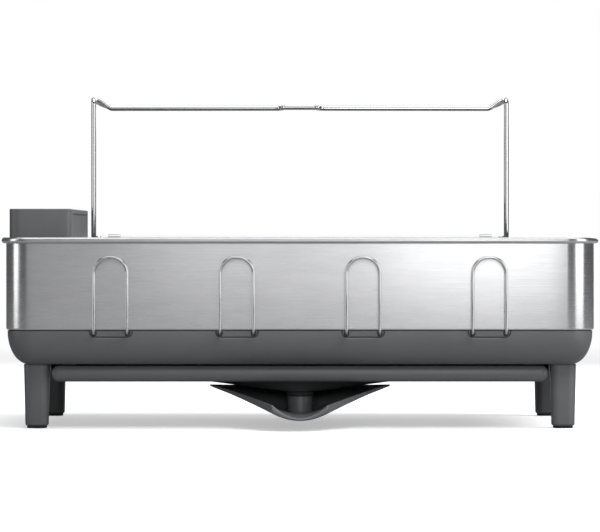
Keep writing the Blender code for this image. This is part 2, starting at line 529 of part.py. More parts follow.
def caddy():
    """An open-topped box for cutlery with two dividers and a knife insert."""
    wall, foot, shoulder = CADDY_WALL, CADDY_FOOT_IN, CADDY_SHOULDER_IN
    rings = [caddy_ring(0, CADDY_FLOOR, foot), caddy_ring(0, BASE_TOP + 2 * GAP, shoulder),
             caddy_ring(0, CADDY_STEP), caddy_ring(0, CADDY_TOP - 0.0006),
             caddy_ring(0.0006, CADDY_TOP), caddy_ring(wall, CADDY_TOP),
             caddy_ring(wall, CADDY_STEP + 0.001), caddy_ring(wall, BASE_TOP + 0.0016, shoulder),
             caddy_ring(wall, CADDY_FLOOR + wall, foot)]
    body = place("caddy_body", loft("caddy_body", rings), grey(), caddy_empty)
    for y in CADDY_FEET_Y:
        low = (CADDY_MIDDLE_X - CADDY_FOOT_HALF_X, y - CADDY_FOOT_HALF_Y, FLOOR_TOP + GAP)
        high = (CADDY_MIDDLE_X + CADDY_FOOT_HALF_X, y + CADDY_FOOT_HALF_Y, CADDY_FLOOR + wall / 2)
        boolean(body, block("foot", low, high), "UNION")
    for y in CADDY_DRAINS_Y:
        low = (CADDY_MIDDLE_X - CADDY_DRAIN_HALF_X, y - CADDY_DRAIN_HALF_Y, FLOOR_TOP)
        high = (CADDY_MIDDLE_X + CADDY_DRAIN_HALF_X, y + CADDY_DRAIN_HALF_Y, CADDY_FLOOR + wall + PAST)
        boolean(body, block("drain", low, high), "DIFFERENCE")
    inner_low, inner_high = CADDY_X[0] + wall + GAP, CADDY_X[1] - wall - GAP
    for number, y in enumerate(DIVIDERS_Y, 1):
        outline = [(inner_low + 0.0010, CADDY_STEP + 0.002), (inner_high, CADDY_STEP + 0.002),
                   (inner_high, CADDY_TOP - DIVIDER_DOWN), (inner_low + 0.0010, CADDY_TOP - DIVIDER_DOWN)]
        divider = extruded_y("divider", outline, y - DIVIDER_HALF, y + DIVIDER_HALF)
        place(f"caddy_divider_{number}", divider, grey(), caddy_empty)
    insert_y = (DIVIDERS_Y[1] + DIVIDER_HALF + GAP, CADDY_Y[1] - wall - GAP)
    corners = [corner - wall - SNUG for corner in CADDY_CORNERS]
    rings = [rounded_rectangle(inner_low, inner_high, *insert_y, corners, z, 4)
             for z in (INSERT_LOW, INSERT_TOP)]
    insert = place("knife_insert", loft("knife_insert", rings), grey(), caddy_empty)
    for number in range(SLITS):
        y = insert_y[0] + SLIT_FIRST + number * SLIT_PITCH
        boolean(insert, block("slit", (inner_low + SLIT_LEFT_IN, y - SLIT_HALF, INSERT_LOW - PAST),
                              (inner_high - SLIT_RIGHT_IN, y + SLIT_HALF, INSERT_TOP + PAST)), "DIFFERENCE")


# ---------------------------------------------------------------- stemware holder

def hinge_brackets():
    """An eye for the holder's cross wire on each end of the rear wall, with a stop shelf."""
    back = BAND_HALF_Y - SHEET - GAP
    top = HINGE_Z - HOLDER_WIRE / 2 - GAP
    outline = [(back, BRACKET_LOW), (back, top - SHELF_SLOPE), (SHELF_FRONT, top),
               (SHELF_FRONT, top - SHELF_SKIN), (back - 0.0030, top - SHELF_ROOT),
               (back - BRACKET_SKIN, BRACKET_LOW)]
    for side, sign in (("left", -1), ("right", 1)):
        edges = sorted((sign * BRACKET_NEAR, sign * BRACKET_FAR))
        shelf = extruded_x("hinge_bracket", outline, *edges)
        bracket = place(f"hinge_bracket_{side}", shelf, polished(), rack)
        eye_ends = sorted((sign * EYE_NEAR, sign * EYE_FAR))
        eye = [circle(x, HINGE_Y, HINGE_Z, EYE_RADIUS, 14, "X") for x in eye_ends]
        boolean(bracket, loft("eye", eye), "UNION")
        bore_ends = sorted((sign * BORE_NEAR, sign * BORE_FAR))
        bore = [circle(x, HINGE_Y, HINGE_Z, BORE_RADIUS, 14, "X") for x in bore_ends]
        boolean(bracket, loft("bore", bore), "DIFFERENCE")


def arm(sign, rail_y, rail_z, turn_radius):
    """Half of a top arm: back along Y, then round towards the middle while it drops."""
    line = []
    for step in range(9):
        turn = math.pi / 2 * step / 8
        line.append((sign * (UPRIGHT_X - turn_radius * (1 - math.cos(turn))),
                     rail_y - turn_radius + turn_radius * math.sin(turn),
                     UPRIGHT_TOP + (rail_z - UPRIGHT_TOP) * smoothstep(step / 8)))
    return line


def stemware_holder():
    """One bent wire: hinged cross wire, uprights and the rear rail, with two front half rails."""
    def side(sign):
        corners = [(sign * (UPRIGHT_X - 0.02), HINGE_Y, HINGE_Z), (sign * UPRIGHT_X, HINGE_Y, HINGE_Z),
                   (sign * UPRIGHT_X, UPRIGHT_Y, HINGE_Z), (sign * UPRIGHT_X, UPRIGHT_Y, UPRIGHT_TOP),
                   (sign * UPRIGHT_X, REAR_RAIL_Y - ARM_BEND, UPRIGHT_TOP)]
        return bent(corners, HOLDER_BEND)[:-1] + arm(sign, REAR_RAIL_Y, REAR_RAIL_Z, ARM_BEND)

    loop = side(1)[1:] + side(-1)[:0:-1]
    wire("holder_frame", loop, HOLDER_WIRE, polished(), holder_empty, closed=True)
    for name, sign in (("left", -1), ("right", 1)):
        start = UPRIGHT_X - HOLDER_WIRE / 2 - GAP
        line = []
        for step in range(7):
            share = step / 6
            line.append((sign * (start - RAIL_DROP_RUN * share), FRONT_RAIL_Y,
                         UPRIGHT_TOP - RAIL_DROP_START + (FRONT_RAIL_Z - UPRIGHT_TOP) * smoothstep(share)))
        entry = [(sign * UPRIGHT_X / 2, FRONT_RAIL_Y, FRONT_RAIL_Z),
                 (sign * ENTRY_HALF, FRONT_RAIL_Y, FRONT_RAIL_Z),
                 (sign * ENTRY_HALF, FRONT_RAIL_Y - ENTRY_TURN - ENTRY_TIP, FRONT_RAIL_Z + ENTRY_LIFT)]
        line += bent(entry, ENTRY_TURN)[1:]
        wire(f"holder_rail_{name}", line, HOLDER_WIRE, polished(), holder_empty)


# ---------------------------------------------------------------- plate rack

def plate_rack():
    """A lift-out wire rack: a frame on four feet, cross wires and two rows of tines."""
    (low_x, high_x), (low_y, high_y) = PLATES_X, PLATES_Y
    frame = rounded_rectangle(low_x, high_x, low_y, high_y, (PLATES_CORNER, PLATES_CORNER), PLATES_Z, 4)
    wire("plate_frame", frame, PLATES_WIRE, polished(), plates_empty, closed=True)
    inside = PLATES_WIRE / 2 + GAP
    for number, x in enumerate(CROSS_X, 1):
        line = [(x, low_y + inside, PLATES_Z), (x, high_y - inside, PLATES_Z)]
        wire(f"plate_cross_{number}", line, TINE_WIRE, polished(), plates_empty)
    row_z = PLATES_Z + TINE_WIRE + GAP
    first_x = low_x + TINE_MARGIN
    for name, y in zip(("front", "rear"), TINE_ROWS_Y):
        corners = [(low_x + inside + TINES_START_IN, y, row_z)]
        for number in range(TINE_COUNT):
            left = first_x + number * TINE_PITCH
            right = left + TINE_WIDTH
            corners += [(left, y, row_z), (left, y, TINE_TOP), (right, y, TINE_TOP), (right, y, row_z)]
        corners.append((high_x - TINES_END_IN, y, row_z))
        line = bent(corners, TINE_BEND, 2)
        wire(f"plate_tines_{name}", line, TINE_WIRE, polished(), plates_empty, resolution=1)
    foot_top = PLATES_Z - PLATES_WIRE / 2 - GAP
    for end, y in (("front", low_y), ("rear", high_y)):
        for side, x in (("left", low_x + PLATE_FOOT_IN), ("right", high_x - PLATE_FOOT_IN)):
            profile = [(PLATE_FOOT_LOW, FLOOR_TOP + GAP), (PLATE_FOOT_WIDE, FLOOR_TOP + 0.002),
                       (PLATE_FOOT_TOP, foot_top)]
            place(f"plate_foot_{end}_{side}", turned("plate_foot", x, y, profile, 12), dark(), plates_empty)


for old in list(bpy.data.objects):
    bpy.data.objects.remove(old, do_unlink=True)

rack = bpy.data.objects.new("rack", None)
rack.location = (0, RACK_Y, 0)
bpy.context.scene.collection.objects.link(rack)
tray_empty = joint_empty("tray_slide", 0, -TRAY_HALF_Y, TRAY_TOP)
spout_empty = joint_empty("spout_pivot", 0, DRAIN_Y, HUB_TOP)
spout_empty.parent = tray_empty
spout_empty.location = (0, DRAIN_Y + TRAY_HALF_Y, HUB_TOP - TRAY_TOP)
caddy_empty = joint_empty("caddy_lift", sum(CADDY_X) / 2, sum(CADDY_Y) / 2, CADDY_FLOOR)
holder_empty = joint_empty("holder_hinge", 0, HINGE_Y, HINGE_Z)
plates_empty = joint_empty("plates_lift", sum(PLATES_X) / 2, sum(PLATES_Y) / 2, PLATES_Z)

steel_band()
base_tub()
legs()
cup_loops()
tray_rails()
drip_tray()
spout()
caddy()
hinge_brackets()
stemware_holder()
plate_rack()
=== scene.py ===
# %% [markdown]
# # A dish rack, surface by surface
#
# This lesson dresses a worktop dish rack: a band of brushed steel on a dark plastic tub with four
# legs, cup loops, a raised holder for stemmed glasses, a cutlery caddy, a wire rack for plates,
# and a drip tray that drains through a swivelling spout. The mechanical model comes first and
# fixes where each piece is. Here every visible surface is worked out again, finer, as a function
# of two parameters, and gets a procedural finish.

# %% Load the mechanical frame
import json

import bmesh
import bpy
import numpy as np
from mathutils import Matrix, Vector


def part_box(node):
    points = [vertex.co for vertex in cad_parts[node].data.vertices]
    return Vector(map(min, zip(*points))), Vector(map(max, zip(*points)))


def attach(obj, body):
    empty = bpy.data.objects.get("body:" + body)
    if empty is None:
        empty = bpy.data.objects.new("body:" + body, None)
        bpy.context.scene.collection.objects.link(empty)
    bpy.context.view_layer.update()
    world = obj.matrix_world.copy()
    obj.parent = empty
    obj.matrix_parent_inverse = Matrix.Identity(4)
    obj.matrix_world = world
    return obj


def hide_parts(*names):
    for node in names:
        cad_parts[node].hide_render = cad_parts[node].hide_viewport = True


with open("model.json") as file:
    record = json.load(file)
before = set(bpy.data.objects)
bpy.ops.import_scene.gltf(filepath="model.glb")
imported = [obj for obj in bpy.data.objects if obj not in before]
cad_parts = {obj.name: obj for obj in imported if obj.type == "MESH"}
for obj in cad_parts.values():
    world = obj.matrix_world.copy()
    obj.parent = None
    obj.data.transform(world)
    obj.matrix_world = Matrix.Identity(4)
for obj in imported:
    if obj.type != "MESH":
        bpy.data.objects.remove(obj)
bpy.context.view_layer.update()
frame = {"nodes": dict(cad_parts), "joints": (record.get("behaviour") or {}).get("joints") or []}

# %% [markdown]
# ## Reading places off the frame
#
# A node's box gives its lowest and highest corner. Most sizes below are differences between such
# corners, so a piece can't drift away from the part that it stands for. The rack's own middle is
# not at the origin, because the spout reaches forwards, so everything is measured from the middle
# of the steel band.

# %% Corners of a node, and the driving measures
def corners_of(node):
    """The lowest and the highest corner of a node, as arrays of x, y and z."""
    low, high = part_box(node)
    return np.array(low), np.array(high)


band_low, band_high = corners_of("steel_band")
BEAD, BEAD_OUT = 0.0028, 0.0016           # radius of the rolled rim, and how far it stands out
SHEET = 0.0010                            # thickness of the band's steel
rim_reach = BEAD + BEAD_OUT
wall_low = band_low[:2] + rim_reach       # the band's flat outer faces
wall_high = band_high[:2] - rim_reach
middle_y = (wall_low[1] + wall_high[1]) / 2
CORNER = 0.027                            # radius of the band's corners
rim_top, band_bottom = band_high[2], band_low[2]
print("band:", np.round((wall_high - wall_low) * 1000, 1), "mm, rim top at", round(rim_top * 1000, 1), "mm")

# %% [markdown]
# ## From a grid of points to a mesh
#
# A surface that is a function of two parameters is a grid: rows follow one parameter and columns
# the other, and each cell is one four-sided face. Blender could make such shapes with Screw, Spin
# or a bevelled curve, but one array holds any of them, and every formula stays visible. The faces
# have to point outwards. The volume inside a closed mesh is a sixth of the sum of the triple
# products of its triangles' corners, and it is negative when the faces point inwards, so the sign
# says whether to turn them round.

# %% The grid's faces, texture map and outward side
def unit(vectors):
    """Each vector divided by its length. A vector with no length stays as it is."""
    length = np.linalg.norm(vectors, axis=-1, keepdims=True)
    return vectors / np.where(length > 1e-12, length, 1.0)


def skin(name, grid, loop_rows=False, loop_columns=True, capped=True, sharp=40):
    """A mesh object from points in an array of rows, columns and x, y, z.

    A cell's corners are (row, column), (row, column + 1), (row + 1, column + 1) and (row + 1,
    column). The texture map holds metres: u is the mean length along the columns up to a corner,
    and v is the mean length along the rows."""
    rows, columns = grid.shape[:2]
    row, column = (index.ravel() for index in np.meshgrid(
        np.arange(rows if loop_rows else rows - 1),
        np.arange(columns if loop_columns else columns - 1), indexing="ij"))
    below, beside = (row + 1) % rows, (column + 1) % columns
    cells = np.stack([row * columns + column, row * columns + beside,
                      below * columns + beside, below * columns + column], axis=1)
    wide = np.linalg.norm(np.roll(grid, -1, axis=1) - grid, axis=2).mean(axis=0)
    tall = np.linalg.norm(np.roll(grid, -1, axis=0) - grid, axis=2).mean(axis=1)
    u, v = (np.concatenate([[0.0], np.cumsum(steps)]) for steps in (wide, tall))
    texture = np.stack([np.stack([u[column], u[column + 1], u[column + 1], u[column]], axis=1),
                        np.stack([v[row], v[row], v[row + 1], v[row + 1]], axis=1)], axis=2)
    points = grid.reshape(-1, 3)
    ends = []
    if capped and not loop_rows:
        ends = [np.arange(columns)[::-1], np.arange(columns) + (rows - 1) * columns]
    flat = points - points.mean(axis=0)
    fans = [np.stack([np.full(columns - 2, end[0]), end[1:-1], end[2:], end[2:]], axis=1) for end in ends]
    a, b, c, d = (flat[np.concatenate([cells] + fans)[:, corner]] for corner in range(4))
    volume = (np.cross(b, c) * a).sum() / 6 + (np.cross(c, d) * a).sum() / 6
    if volume < 0:
        cells, texture, ends = cells[:, ::-1], texture[:, ::-1], [end[::-1] for end in ends]
    mesh = bpy.data.meshes.new(name)
    mesh.from_pydata(points, [], cells.tolist() + [end.tolist() for end in ends])
    texture = np.concatenate([texture.reshape(-1, 2)] + [points[end][:, :2] for end in ends])
    mesh.uv_layers.new(name="UVMap").data.foreach_set("uv", texture.astype(np.float32).ravel())
    return settled_mesh(name, mesh, sharp), abs(volume)


def settled_mesh(name, mesh, sharp):
    """Welds points that coincide, as at a pole, and shades smooth up to an angle in degrees."""
    work = bmesh.new()
    work.from_mesh(mesh)
    bmesh.ops.remove_doubles(work, verts=work.verts, dist=2e-6)
    bmesh.ops.dissolve_degenerate(work, edges=work.edges, dist=1e-7)
    work.to_mesh(mesh)
    work.free()
    mesh.shade_smooth()
    mesh.set_sharp_from_angle(angle=np.radians(sharp))
    piece = bpy.data.objects.new(name, mesh)
    bpy.context.scene.collection.objects.link(piece)
    return piece

# %% [markdown]
# ## Three ways to fill a grid
#
# Almost every piece of the rack is one of three things. Sheet and moulded pieces are a profile
# carried round a rectangle with round corners. Wires are a circle carried along a bent line.
# Buttons, feet and rings are a profile turned round an axis. One function makes each.

# %% A profile carried round a rectangle with round corners
NO_POINTS = np.zeros(0)


def boxed(low, high, radius, profile, steps=12, runs=(NO_POINTS,) * 4):
    """Rows of points round a rectangle from low to high (x, y), one row for each profile point
    (outward offset, z).

    On a corner, the point at angle a is the corner's centre + (radius + offset) (cos a, sin a).
    On a straight run it is a weighted mean of the run's two ends, and runs holds the weights for
    the rear, left, front and right run. radius is one number, or one for the left and one for the
    right corners; low and high may hold a row for each profile point."""
    profile = np.asarray(profile, float)
    offset, z = profile[:, 0], profile[:, 1]
    low, high = (np.broadcast_to(corner, (len(profile), 2)) for corner in (low, high))
    left, right = np.broadcast_to(radius, 2)
    arcs = []
    for quarter, (side_x, side_y) in enumerate(((1, 1), (-1, 1), (-1, -1), (1, -1))):
        round_by = right if side_x > 0 else left
        reach = np.maximum(round_by + offset, 1e-5)[:, None]
        corner_x = (high if side_x > 0 else low)[:, :1] + side_x * (offset[:, None] - reach)
        corner_y = (high if side_y > 0 else low)[:, 1:] + side_y * (offset[:, None] - reach)
        angle = (quarter + np.linspace(0, 1, steps + 1)) * np.pi / 2
        arcs.append(np.stack([corner_x + reach * np.cos(angle), corner_y + reach * np.sin(angle)], axis=2))
    parts = []
    for quarter, arc in enumerate(arcs):
        weight = np.asarray(runs[quarter], float)[None, :, None]
        start, end = arc[:, -1:], arcs[(quarter + 1) % 4][:, :1]
        parts += [arc, start + (end - start) * weight]
    flat = np.concatenate(parts, axis=1)
    height = np.broadcast_to(z[:, None, None], flat.shape[:2] + (1,))
    return np.concatenate([flat, height], axis=2)


def even(count):
    """Weights that split a straight run into equal lengths."""
    return np.arange(1, count + 1) / (count + 1)

# %% A polyline with round corners, and a strip of sheet along a line
def softened(corners, radius, steps=6, loop=False):
    """A line through the corners, each replaced by an arc that touches both its sides.

    An arc of radius r that turns by t starts r tan(t / 2) before its corner. Its points are the
    start + r (sin a) along the way in + r (1 - cos a) towards the way out."""
    corners = np.asarray(corners, float)
    radius = np.broadcast_to(radius, len(corners)).astype(float)
    into = unit(corners - np.roll(corners, 1, axis=0))
    out = unit(np.roll(corners, -1, axis=0) - corners)
    turn = np.arccos(np.clip((into * out).sum(axis=1), -1, 1))
    across = unit(out - into * np.cos(turn)[:, None])
    start = corners - into * (radius * np.tan(turn / 2))[:, None]
    angle = turn[:, None] * np.linspace(0, 1, steps + 1)
    arcs = start[:, None] + radius[:, None, None] * (
        np.sin(angle)[..., None] * into[:, None] + (1 - np.cos(angle))[..., None] * across[:, None])
    if loop:
        return arcs.reshape(-1, corners.shape[1])
    inner = arcs[1:-1].reshape(-1, corners.shape[1])
    return np.concatenate([corners[:1], inner, corners[-1:]])


def strip(line, thickness):
    """The closed section of a sheet that follows a flat line: the line moved by half the
    thickness to one side, and back along the other side."""
    along = unit(np.gradient(np.asarray(line, float), axis=0))
    sideways = np.stack([along[:, 1], -along[:, 0]], axis=1) * thickness / 2
    return np.concatenate([line + sideways, (line - sideways)[::-1]])

# %% A round wire along a line, and a profile turned round an axis
REFERENCE = unit(np.array([1.0, 1.3, 0.8]))     # no wire of the rack runs this way


def wire_grid(line, radius, sides=20, loop=False):
    """Circles along a line: centre + r (cos a) first + r (sin a) second, where first and second
    are at right angles to the line and to each other. An open wire's ends are low domes, whose
    radius goes with the sine of an angle while its distance from the tip goes with the cosine."""
    line = np.asarray(line, float)
    size = np.full(len(line), radius)
    if not loop:
        dome = np.linspace(0, np.pi / 2, 6)
        reach = 0.5 * radius * (1 - np.cos(dome))[:, None]
        head = line[0] + reach * unit(line[1] - line[0])
        tail = line[-1] + reach[::-1] * unit(line[-2] - line[-1])
        line = np.concatenate([head, line[1:-1], tail])
        size = np.concatenate([radius * np.sin(dome), size[1:-1], radius * np.sin(dome[::-1])])
    ahead, behind = np.roll(line, -1, axis=0), np.roll(line, 1, axis=0)
    if not loop:
        ahead[-1], behind[0] = line[-1], line[0]
    along = unit(ahead - behind)
    first = unit(np.cross(along, REFERENCE))
    second = np.cross(along, first)
    angle = np.linspace(0, 2 * np.pi, sides, endpoint=False)[None, :, None]
    circle = np.cos(angle) * first[:, None] + np.sin(angle) * second[:, None]
    return line[:, None] + size[:, None, None] * circle


def turned_grid(profile, centre, sides=40, axis=2):
    """A profile of (radius, height) pairs turned round a line through centre along x, y or z."""
    profile = np.asarray(profile, float)
    angle = np.linspace(0, 2 * np.pi, sides, endpoint=False)
    around = [profile[:, :1] * np.cos(angle), profile[:, :1] * np.sin(angle)]
    around.insert(axis, np.broadcast_to(profile[:, 1:], around[0].shape))
    return np.stack(around, axis=2) + np.asarray(centre, float)

# %% [markdown]
# ## Putting a piece on its body
#
# Each new piece rides on the body that it belongs to, hides the plain node that it stands for,
# and takes the finish that its slot names. Openings with square walls, such as drain slots, are
# cut with Boolean, which is made for that, and the result replaces the mesh at once.

# %% Riding, replacing and cutting
FINISHES = {}        # the material of each slot


def settle(piece, body, slot, *nodes):
    """Puts a finished piece on its body, in place of its nodes."""
    piece.data.materials.clear()
    piece.data.materials.append(FINISHES[slot])
    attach(piece, body)
    if nodes:
        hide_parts(*nodes)
    return piece


def place(name, grid, body, slot, *nodes, **how):
    """Makes a piece from its grid and settles it."""
    return settle(skin(name, grid, **how)[0], body, slot, *nodes)


def cut(piece, cutters, sharp=35):
    """Takes the cutters away from a piece, then removes them."""
    for cutter in cutters:
        modifier = piece.modifiers.new(cutter.name, "BOOLEAN")
        modifier.operation = "DIFFERENCE"
        modifier.object = cutter
    result = bpy.data.meshes.new_from_object(piece.evaluated_get(bpy.context.evaluated_depsgraph_get()))
    piece.modifiers.clear()
    piece.data = result
    for cutter in cutters:
        bpy.data.objects.remove(cutter)
    result.shade_smooth()
    result.set_sharp_from_angle(angle=np.radians(sharp))
    return piece


def slot_cutter(centre, half, low_z, high_z):
    """A cutter with the outline of a slot: a rectangle whose short ends are half circles."""
    centre, half = np.asarray(centre, float), np.asarray(half, float)
    grid = boxed(centre - half, centre + half, half.min() * 0.98, [(0, low_z), (0, high_z)], 6)
    return skin("slot_cutter", grid)[0]

# %% [markdown]
# ## The brushed steel
#
# Brushing leaves fine parallel scratches. Light spreads widely across them and hardly along them,
# which is what the Principled shader's anisotropy does, turned a quarter so that the wide way is
# across the scratches. The scratches themselves are noise stretched along the sheet: it is read
# from the texture map, whose u runs round the band, so they follow its corners. They change the
# roughness and the bump a little, and the colour hardly at all.

# %% Helpers for node materials, and the brushed finish
def new_material(name, colour, roughness, metallic=0.0):
    """A material, its tree and its Principled shader with the constant values set on it."""
    material = bpy.data.materials.new(name)
    material.use_nodes = True
    tree = material.node_tree
    shader = tree.nodes["Principled BSDF"]
    shader.inputs["Base Color"].default_value = (*colour, 1.0)
    shader.inputs["Roughness"].default_value = roughness
    shader.inputs["Metallic"].default_value = metallic
    return material, tree, shader


def noise(tree, source, scale, detail=4.0, roughness=0.55):
    """Noise read at a source's coordinates, stretched by three scales. Gives its value socket."""
    place = tree.nodes.new("ShaderNodeTexCoord")
    mapping = tree.nodes.new("ShaderNodeMapping")
    mapping.inputs["Scale"].default_value = scale
    pattern = tree.nodes.new("ShaderNodeTexNoise")
    pattern.inputs["Scale"].default_value = 1.0
    pattern.inputs["Detail"].default_value = detail
    pattern.inputs["Roughness"].default_value = roughness
    tree.links.new(place.outputs[source], mapping.inputs["Vector"])
    tree.links.new(mapping.outputs["Vector"], pattern.inputs["Vector"])
    return pattern.outputs["Fac"]


def spread(tree, value, low, high, into, span=(0.3, 0.7)):
    """Maps a value's span to low..high and links it to a socket."""
    mapped = tree.nodes.new("ShaderNodeMapRange")
    for name, number in (("From Min", span[0]), ("From Max", span[1]), ("To Min", low), ("To Max", high)):
        mapped.inputs[name].default_value = number
    tree.links.new(value, mapped.inputs["Value"])
    tree.links.new(mapped.outputs["Result"], into)


def shaded(tree, value, dark, light, into, span=(0.3, 0.7)):
    """Runs from a dark to a light colour with a value, into a colour socket."""
    ramp = tree.nodes.new("ShaderNodeValToRGB")
    ramp.color_ramp.elements[0].position, ramp.color_ramp.elements[1].position = span
    ramp.color_ramp.elements[0].color = (*dark, 1.0)
    ramp.color_ramp.elements[1].color = (*light, 1.0)
    tree.links.new(value, ramp.inputs["Fac"])
    tree.links.new(ramp.outputs["Color"], into)


def bumped(tree, shader, value, strength, distance):
    """Lets a value raise the surface by up to a distance."""
    bump = tree.nodes.new("ShaderNodeBump")
    bump.inputs["Strength"].default_value = strength
    bump.inputs["Distance"].default_value = distance
    tree.links.new(value, bump.inputs["Height"])
    tree.links.new(bump.outputs["Normal"], shader.inputs["Normal"])


def brushed_steel(name, tone, roughness, anisotropy):
    """Stainless sheet, brushed along u."""
    material, tree, shader = new_material(name, (tone, tone, tone * 1.01), roughness, 1.0)
    scratches = noise(tree, "UV", (14.0, 5200.0, 1.0), 5.0, 0.65)
    cloud = noise(tree, "UV", (26.0, 90.0, 1.0), 3.0, 0.5)
    spread(tree, scratches, roughness - 0.05, roughness + 0.07, shader.inputs["Roughness"])
    darker, lighter = (0.96 * tone, 0.96 * tone, 0.975 * tone), (1.03 * tone, 1.03 * tone, 1.035 * tone)
    shaded(tree, cloud, darker, lighter, shader.inputs["Base Color"])
    bumped(tree, shader, scratches, 0.12, 0.00004)
    shader.inputs["Anisotropic"].default_value = anisotropy
    shader.inputs["Anisotropic Rotation"].default_value = 0.25
    tangent = tree.nodes.new("ShaderNodeTangent")
    tangent.direction_type = "UV_MAP"
    tangent.uv_map = "UVMap"
    tree.links.new(tangent.outputs["Tangent"], shader.inputs["Tangent"])
    return material


FINISHES["band_steel"] = brushed_steel("brushed_band_steel", 0.60, 0.28, 0.80)
FINISHES["bracket_steel"] = brushed_steel("satin_bracket_steel", 0.56, 0.34, 0.4)

# %% [markdown]
# ## Wire, plastic and rubber
#
# The wires are drawn stainless, polished until they mirror, with faint draw lines along them and
# a little haze. The plastic is a cool dark grey with a fine moulded grain, slightly uneven in
# gloss. The rubber is nearly black and dull. Grain and haze read Object coordinates, which are
# metres here, so their scale is real: a scale of 2500 makes grains of 0.4 mm.

# %% Drawn wire, moulded plastic and rubber
def drawn_wire(name, tone, roughness):
    """Polished wire: draw lines along v, and a broad haze."""
    material, tree, shader = new_material(name, (tone, tone, tone * 1.012), roughness, 1.0)
    lines = noise(tree, "UV", (2600.0, 18.0, 1.0), 3.0, 0.6)
    haze = noise(tree, "Object", (60.0, 60.0, 60.0), 3.0, 0.5)
    spread(tree, haze, roughness - 0.02, roughness + 0.04, shader.inputs["Roughness"])
    bumped(tree, shader, lines, 0.03, 0.00002)
    return material


def moulded_plastic(name, colour, roughness, grain=2600.0):
    """Dark moulded plastic with a fine grain and slightly uneven gloss."""
    material, tree, shader = new_material(name, colour, roughness)
    texture = noise(tree, "Object", (grain, grain, grain), 2.0, 0.5)
    patches = noise(tree, "Object", (22.0, 22.0, 22.0), 4.0, 0.6)
    darker, lighter = ([channel * share for channel in colour] for share in (0.93, 1.06))
    shaded(tree, patches, darker, lighter, shader.inputs["Base Color"])
    spread(tree, patches, roughness - 0.03, roughness + 0.05, shader.inputs["Roughness"])
    bumped(tree, shader, texture, 0.16, 0.00008)
    return material


def rubber(name):
    """Black rubber, dull, with a coarse matt grain."""
    material, tree, shader = new_material(name, (0.024, 0.024, 0.026), 0.72)
    texture = noise(tree, "Object", (1500.0, 1500.0, 1500.0), 3.0, 0.6)
    spread(tree, texture, 0.66, 0.82, shader.inputs["Roughness"])
    bumped(tree, shader, texture, 0.3, 0.0001)
    return material


GREY = (0.112, 0.115, 0.120)
FINISHES["wire_chrome"] = drawn_wire("polished_wire_steel", 0.60, 0.09)
FINISHES["screw_steel"] = drawn_wire("plain_screw_steel", 0.55, 0.30)
FINISHES["base_plastic"] = moulded_plastic("base_grey_plastic", GREY, 0.40)
FINISHES["tray_plastic"] = moulded_plastic("tray_grey_plastic", GREY, 0.32)
FINISHES["caddy_plastic"] = moulded_plastic("caddy_grey_plastic", (0.118, 0.120, 0.124), 0.46, 2200.0)
FINISHES["pad_rubber"] = rubber("pad_rubber_black")
FINISHES["seal_rubber"] = rubber("seal_rubber_black")
print("materials:", len(bpy.data.materials))

# %% [markdown]
# ## The steel band
#
# The band is one loop of sheet. Its lower edge turns in to a narrow hem that the tub holds, and
# its top rolls outwards into the rim that hands and glasses touch. A solid round rim would be
# simpler, but the real one is a curl: the sheet bends round and stops just short of the wall, and
# that leaves the thin dark line under the rim. So the section here is a strip of sheet along a
# bent line, carried round the corners.

# %% Make the band
bead_z = rim_top - BEAD
CURL_START, CURL_STOP = 180, -112         # degrees; the rest of the turn is the gap
curl = np.radians(np.linspace(CURL_START, CURL_STOP, 22))
curl_radius = BEAD - SHEET / 2
HEM, HEM_BEND = 0.0036, 0.0012
hem_line = softened([(-HEM, band_bottom + SHEET / 2), (-SHEET / 2, band_bottom + SHEET / 2),
                     (-SHEET / 2, bead_z - 0.0016)], HEM_BEND, 5)
curl_line = np.stack([BEAD_OUT + curl_radius * np.cos(curl), bead_z + curl_radius * np.sin(curl)], axis=1)
band_section = strip(np.concatenate([hem_line, curl_line]), SHEET)
band_grid = boxed(wall_low, wall_high, CORNER, band_section, 20, (even(23), even(13), even(23), even(13)))
band, steel_volume = skin("band", band_grid, loop_rows=True, sharp=50)
settle(band, "rack", "band_steel", "steel_band")
STEEL_DENSITY = 7900
print("steel in the band:", round(steel_volume * 1e6, 1), "cm3, about",
      round(steel_volume * STEEL_DENSITY, 2), "kg")

# %% [markdown]
# ## The plastic tub
#
# The tub stands just inside the band's face and curves in to its floor like a quarter of an
# ellipse. On its front, each cup loop has a shallow plug with round lower corners, outlined by a
# fine groove, and a dark hole where each end of the wire goes in. Grooves could be cut with
# Boolean, but here they are a depth that depends on x and z: the distance to the plug's outline
# is worked out as for a rounded box, and the depth falls off with that distance. The grid has to
# be fine where the depth changes and can be coarse elsewhere, so its columns are chosen for that.

# %% The plugs' depth as a function of x and z
tub_low, tub_high = corners_of("base_tub")
loops = [corners_of(f"cup_loop_{number}") for number in (1, 2, 3, 4)]
LOOP_WIRE = 0.0028
loop_middles = np.array([(low[0] + high[0]) / 2 for low, high in loops])
loop_spacing = loops[0][1][0] - loops[0][0][0] - LOOP_WIRE
foot_z = loops[0][0][2] + LOOP_WIRE / 2
PLUG_HALF, PLUG_LOW, PLUG_CORNER = 0.0197, 0.0870, 0.0042
GROOVE_WIDTH, GROOVE_DEPTH, PLUG_DEPTH = 0.00046, 0.0019, 0.0005
HOLE_RADIUS, HOLE_DEPTH, SOFT_EDGE = 0.0026, 0.0042, 0.0005


def step_up(value, start, end):
    """Smoothly from 0 at start to 1 at end: t t (3 - 2 t), with t from 0 to 1 between them."""
    share = np.clip((value - start) / (end - start), 0, 1)
    return share * share * (3 - 2 * share)


